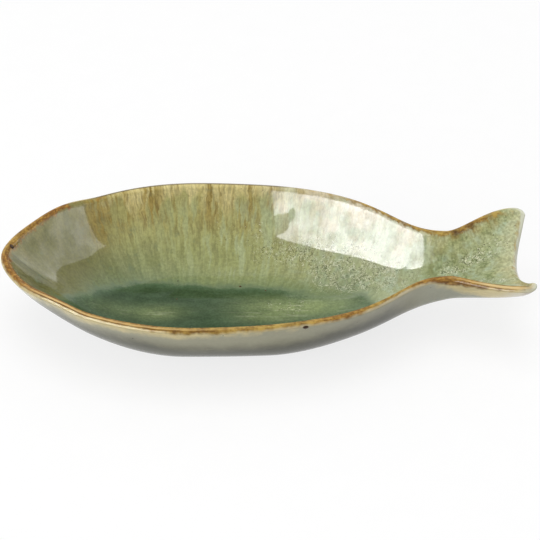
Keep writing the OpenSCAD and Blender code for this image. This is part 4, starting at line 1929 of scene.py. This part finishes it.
@dataclass
class Studio:
    """The floor, the lights and the camera."""

    floor_half: float = 6.0
    floor_tone: float = 0.93
    floor_grain: float = 0.02
    bounce_tone: float = 0.34
    shadow_share: float = 0.22
    sky: float = 0.62
    camera_at: Colour = (0.0, -0.9456, 0.7588)
    view_drop: float = 38.0
    focal_px: float = 2090.83
    target_px: tuple[float, float] = (265.82, 290.51)
    frame_px: float = 540.0
    sensor: float = 36.0
    panels: tuple[Panel, ...] = (
        Panel("softbox_glare", -140.0, (-0.60, 0.762), 0.98, 13.0, True),
        Panel("softbox_light", -140.0, (-0.60, 0.762), 0.98, 3.0, False),
        Panel("card_glare", -10.0, (-0.51, 3.0), 1.137, 3.1, True),
    )
    top_light: float = 2.2
    top_size: float = 1.6
    top_at: Colour = (-0.2, -0.1, 1.9)

    def build(self) -> None:
        """Makes the floor, the world, the lights and the camera."""
        self.floor()
        self.world()
        for panel in self.panels:
            panel.build()
        self.overhead()
        self.camera()

    @staticmethod
    def straight(g: Graph, rays: dict[str, Term]) -> Term:
        """Whether a ray comes from the camera, a mirror or a clear piece."""
        bent = g.math("MAXIMUM", rays["Is Glossy Ray"], rays["Is Transmission Ray"])
        return g.math("MAXIMUM", rays["Is Camera Ray"], bent)

    def floor(self) -> None:
        """A pale floor that looks white to the camera and keeps a soft shadow."""
        half = self.floor_half
        mesh = bpy.data.meshes.new("floor")
        mesh.from_pydata([(-half, -half, 0), (half, -half, 0), (half, half, 0), (-half, half, 0)], [], [(0, 1, 2, 3)])
        data = bpy.data.materials.new("pale_floor")
        data.use_nodes = True
        g, nodes, links = Graph(data.node_tree), data.node_tree.nodes, data.node_tree.links
        shader = nodes["Principled BSDF"]
        rays = g.terms(g.node("ShaderNodeLightPath"))
        grain = g.noise(g.term("ShaderNodeTexCoord", None, "Object"), 60.0, 3.0)
        tone = g.step(grain, 0.3, 0.7, self.floor_tone, self.floor_tone + self.floor_grain)
        tone = tone - rays["Is Diffuse Ray"] * (self.floor_tone - self.bounce_tone)
        links.new(g.grey(tone).socket, shader.inputs["Base Color"])
        shader.inputs["Roughness"].default_value = 0.9
        shader.inputs["Specular IOR Level"].default_value = 0.0
        white = g.term("ShaderNodeEmission", {"Color": WHITE, "Strength": 1.0})
        share = self.straight(g, rays) * (1 - self.shadow_share)
        mixed = g.term("ShaderNodeMixShader", {0: share, 1: shader.outputs[0], 2: white})
        links.new(mixed.socket, nodes["Material Output"].inputs[0])
        mesh.materials.append(data)
        floor = link("floor", mesh)

    def world(self) -> None:
        """A white background, and a plain even light for everything else."""
        world = bpy.data.worlds.new("studio")
        bpy.context.scene.world = world
        world.use_nodes = True
        g = Graph(world.node_tree)
        back = world.node_tree.nodes["Background"]
        back.inputs["Color"].default_value = WHITE
        plain = self.straight(g, g.terms(g.node("ShaderNodeLightPath")))
        world.node_tree.links.new((plain * (1 - self.sky) + self.sky).socket, back.inputs["Strength"])

    def overhead(self) -> None:
        """A wide soft light above, that doesn't show in the glaze."""
        lamp = bpy.data.lights.new("overhead", "AREA")
        lamp.shape = "DISK"
        lamp.size = self.top_size
        lamp.energy = self.top_light * math.pi * math.pi * (self.top_size / 2) ** 2
        holder = link("overhead", lamp)
        holder.location = self.top_at
        holder.visible_camera = False
        holder.visible_glossy = False

    def camera(self) -> None:
        """The camera, at the photograph's place and angle."""
        drop = math.radians(self.view_drop)
        ahead = Vector((0.0, math.cos(drop), -math.sin(drop)))
        up = Vector((0.0, math.sin(drop), math.cos(drop)))
        right = Vector((1.0, 0.0, 0.0))
        middle = self.frame_px / 2
        aside, raised = middle - self.target_px[0], self.target_px[1] - middle
        look = ahead + right * (aside / self.focal_px) + up * (raised / self.focal_px)
        data = bpy.data.cameras.new("camera")
        data.sensor_width = self.sensor
        data.lens = self.sensor * self.focal_px / self.frame_px
        data.clip_start, data.clip_end = 0.05, 40.0
        holder = link("camera", data)
        holder.location = self.camera_at
        holder.rotation_euler = look.to_track_quat("-Z", "Y").to_euler()
        bpy.context.scene.camera = holder


def seat(piece: bpy.types.Object, slot: str | None, *nodes: str) -> None:
    """Makes a piece ride on the dish, and hides the nodes that it replaces.

    Args:
        piece: The piece.
        slot: Not used.
        nodes: The nodes that it replaces.
    """
    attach(piece, "root")
    if nodes:
        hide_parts(*nodes)
    LOG.info("%s: %d points, %d faces", piece.name, len(piece.data.vertices), len(piece.data.polygons))


def main() -> None:
    """Builds the platter and its studio."""
    logging.basicConfig(level=logging.INFO, format="%(name)s: %(message)s")
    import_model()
    bpy.context.scene.view_settings.view_transform = "Standard"
    Studio().build()
    form = DishForm()
    shell = Shell(form)
    core = Shell(form, Cells(head=36, flank=38, fin=24, lobe=8, half=30, flat=7, lip=8))
    effects = Effects()
    rim, marks = RimMarks(), WellMarks()
    well = WellFinish()
    green = well.material("green_glaze", effects)
    clay = ClayFinish().material("bare_clay", effects)
    seat(ClayBody(core).build(clay), "clay_body", "clay_body")
    seat(WellGlaze(shell, rim, marks).build(green), "inner_glaze", "inner_glaze")
    pool = PoolGlaze(shell, rim, marks)
    seat(pool.build(green), "pool_glaze", "pool_glaze")
    brown = RimFinish(well).material("iron_glaze", effects)
    seat(RimGlaze(shell, rim, marks).build(brown), "rim_glaze", "rim_glaze")
    cream = CreamFinish().material("cream_glaze", effects)
    seat(OuterGlaze(shell, rim).build(cream), "outer_glaze", "outer_glaze")
    seat(FootRing(form).build(clay), "foot_ring", "foot_ring")
    seat(IronSpecks(shell, pool).build(IronFinish().material("iron_speck")), None)


if __name__ == "__main__":
    main()
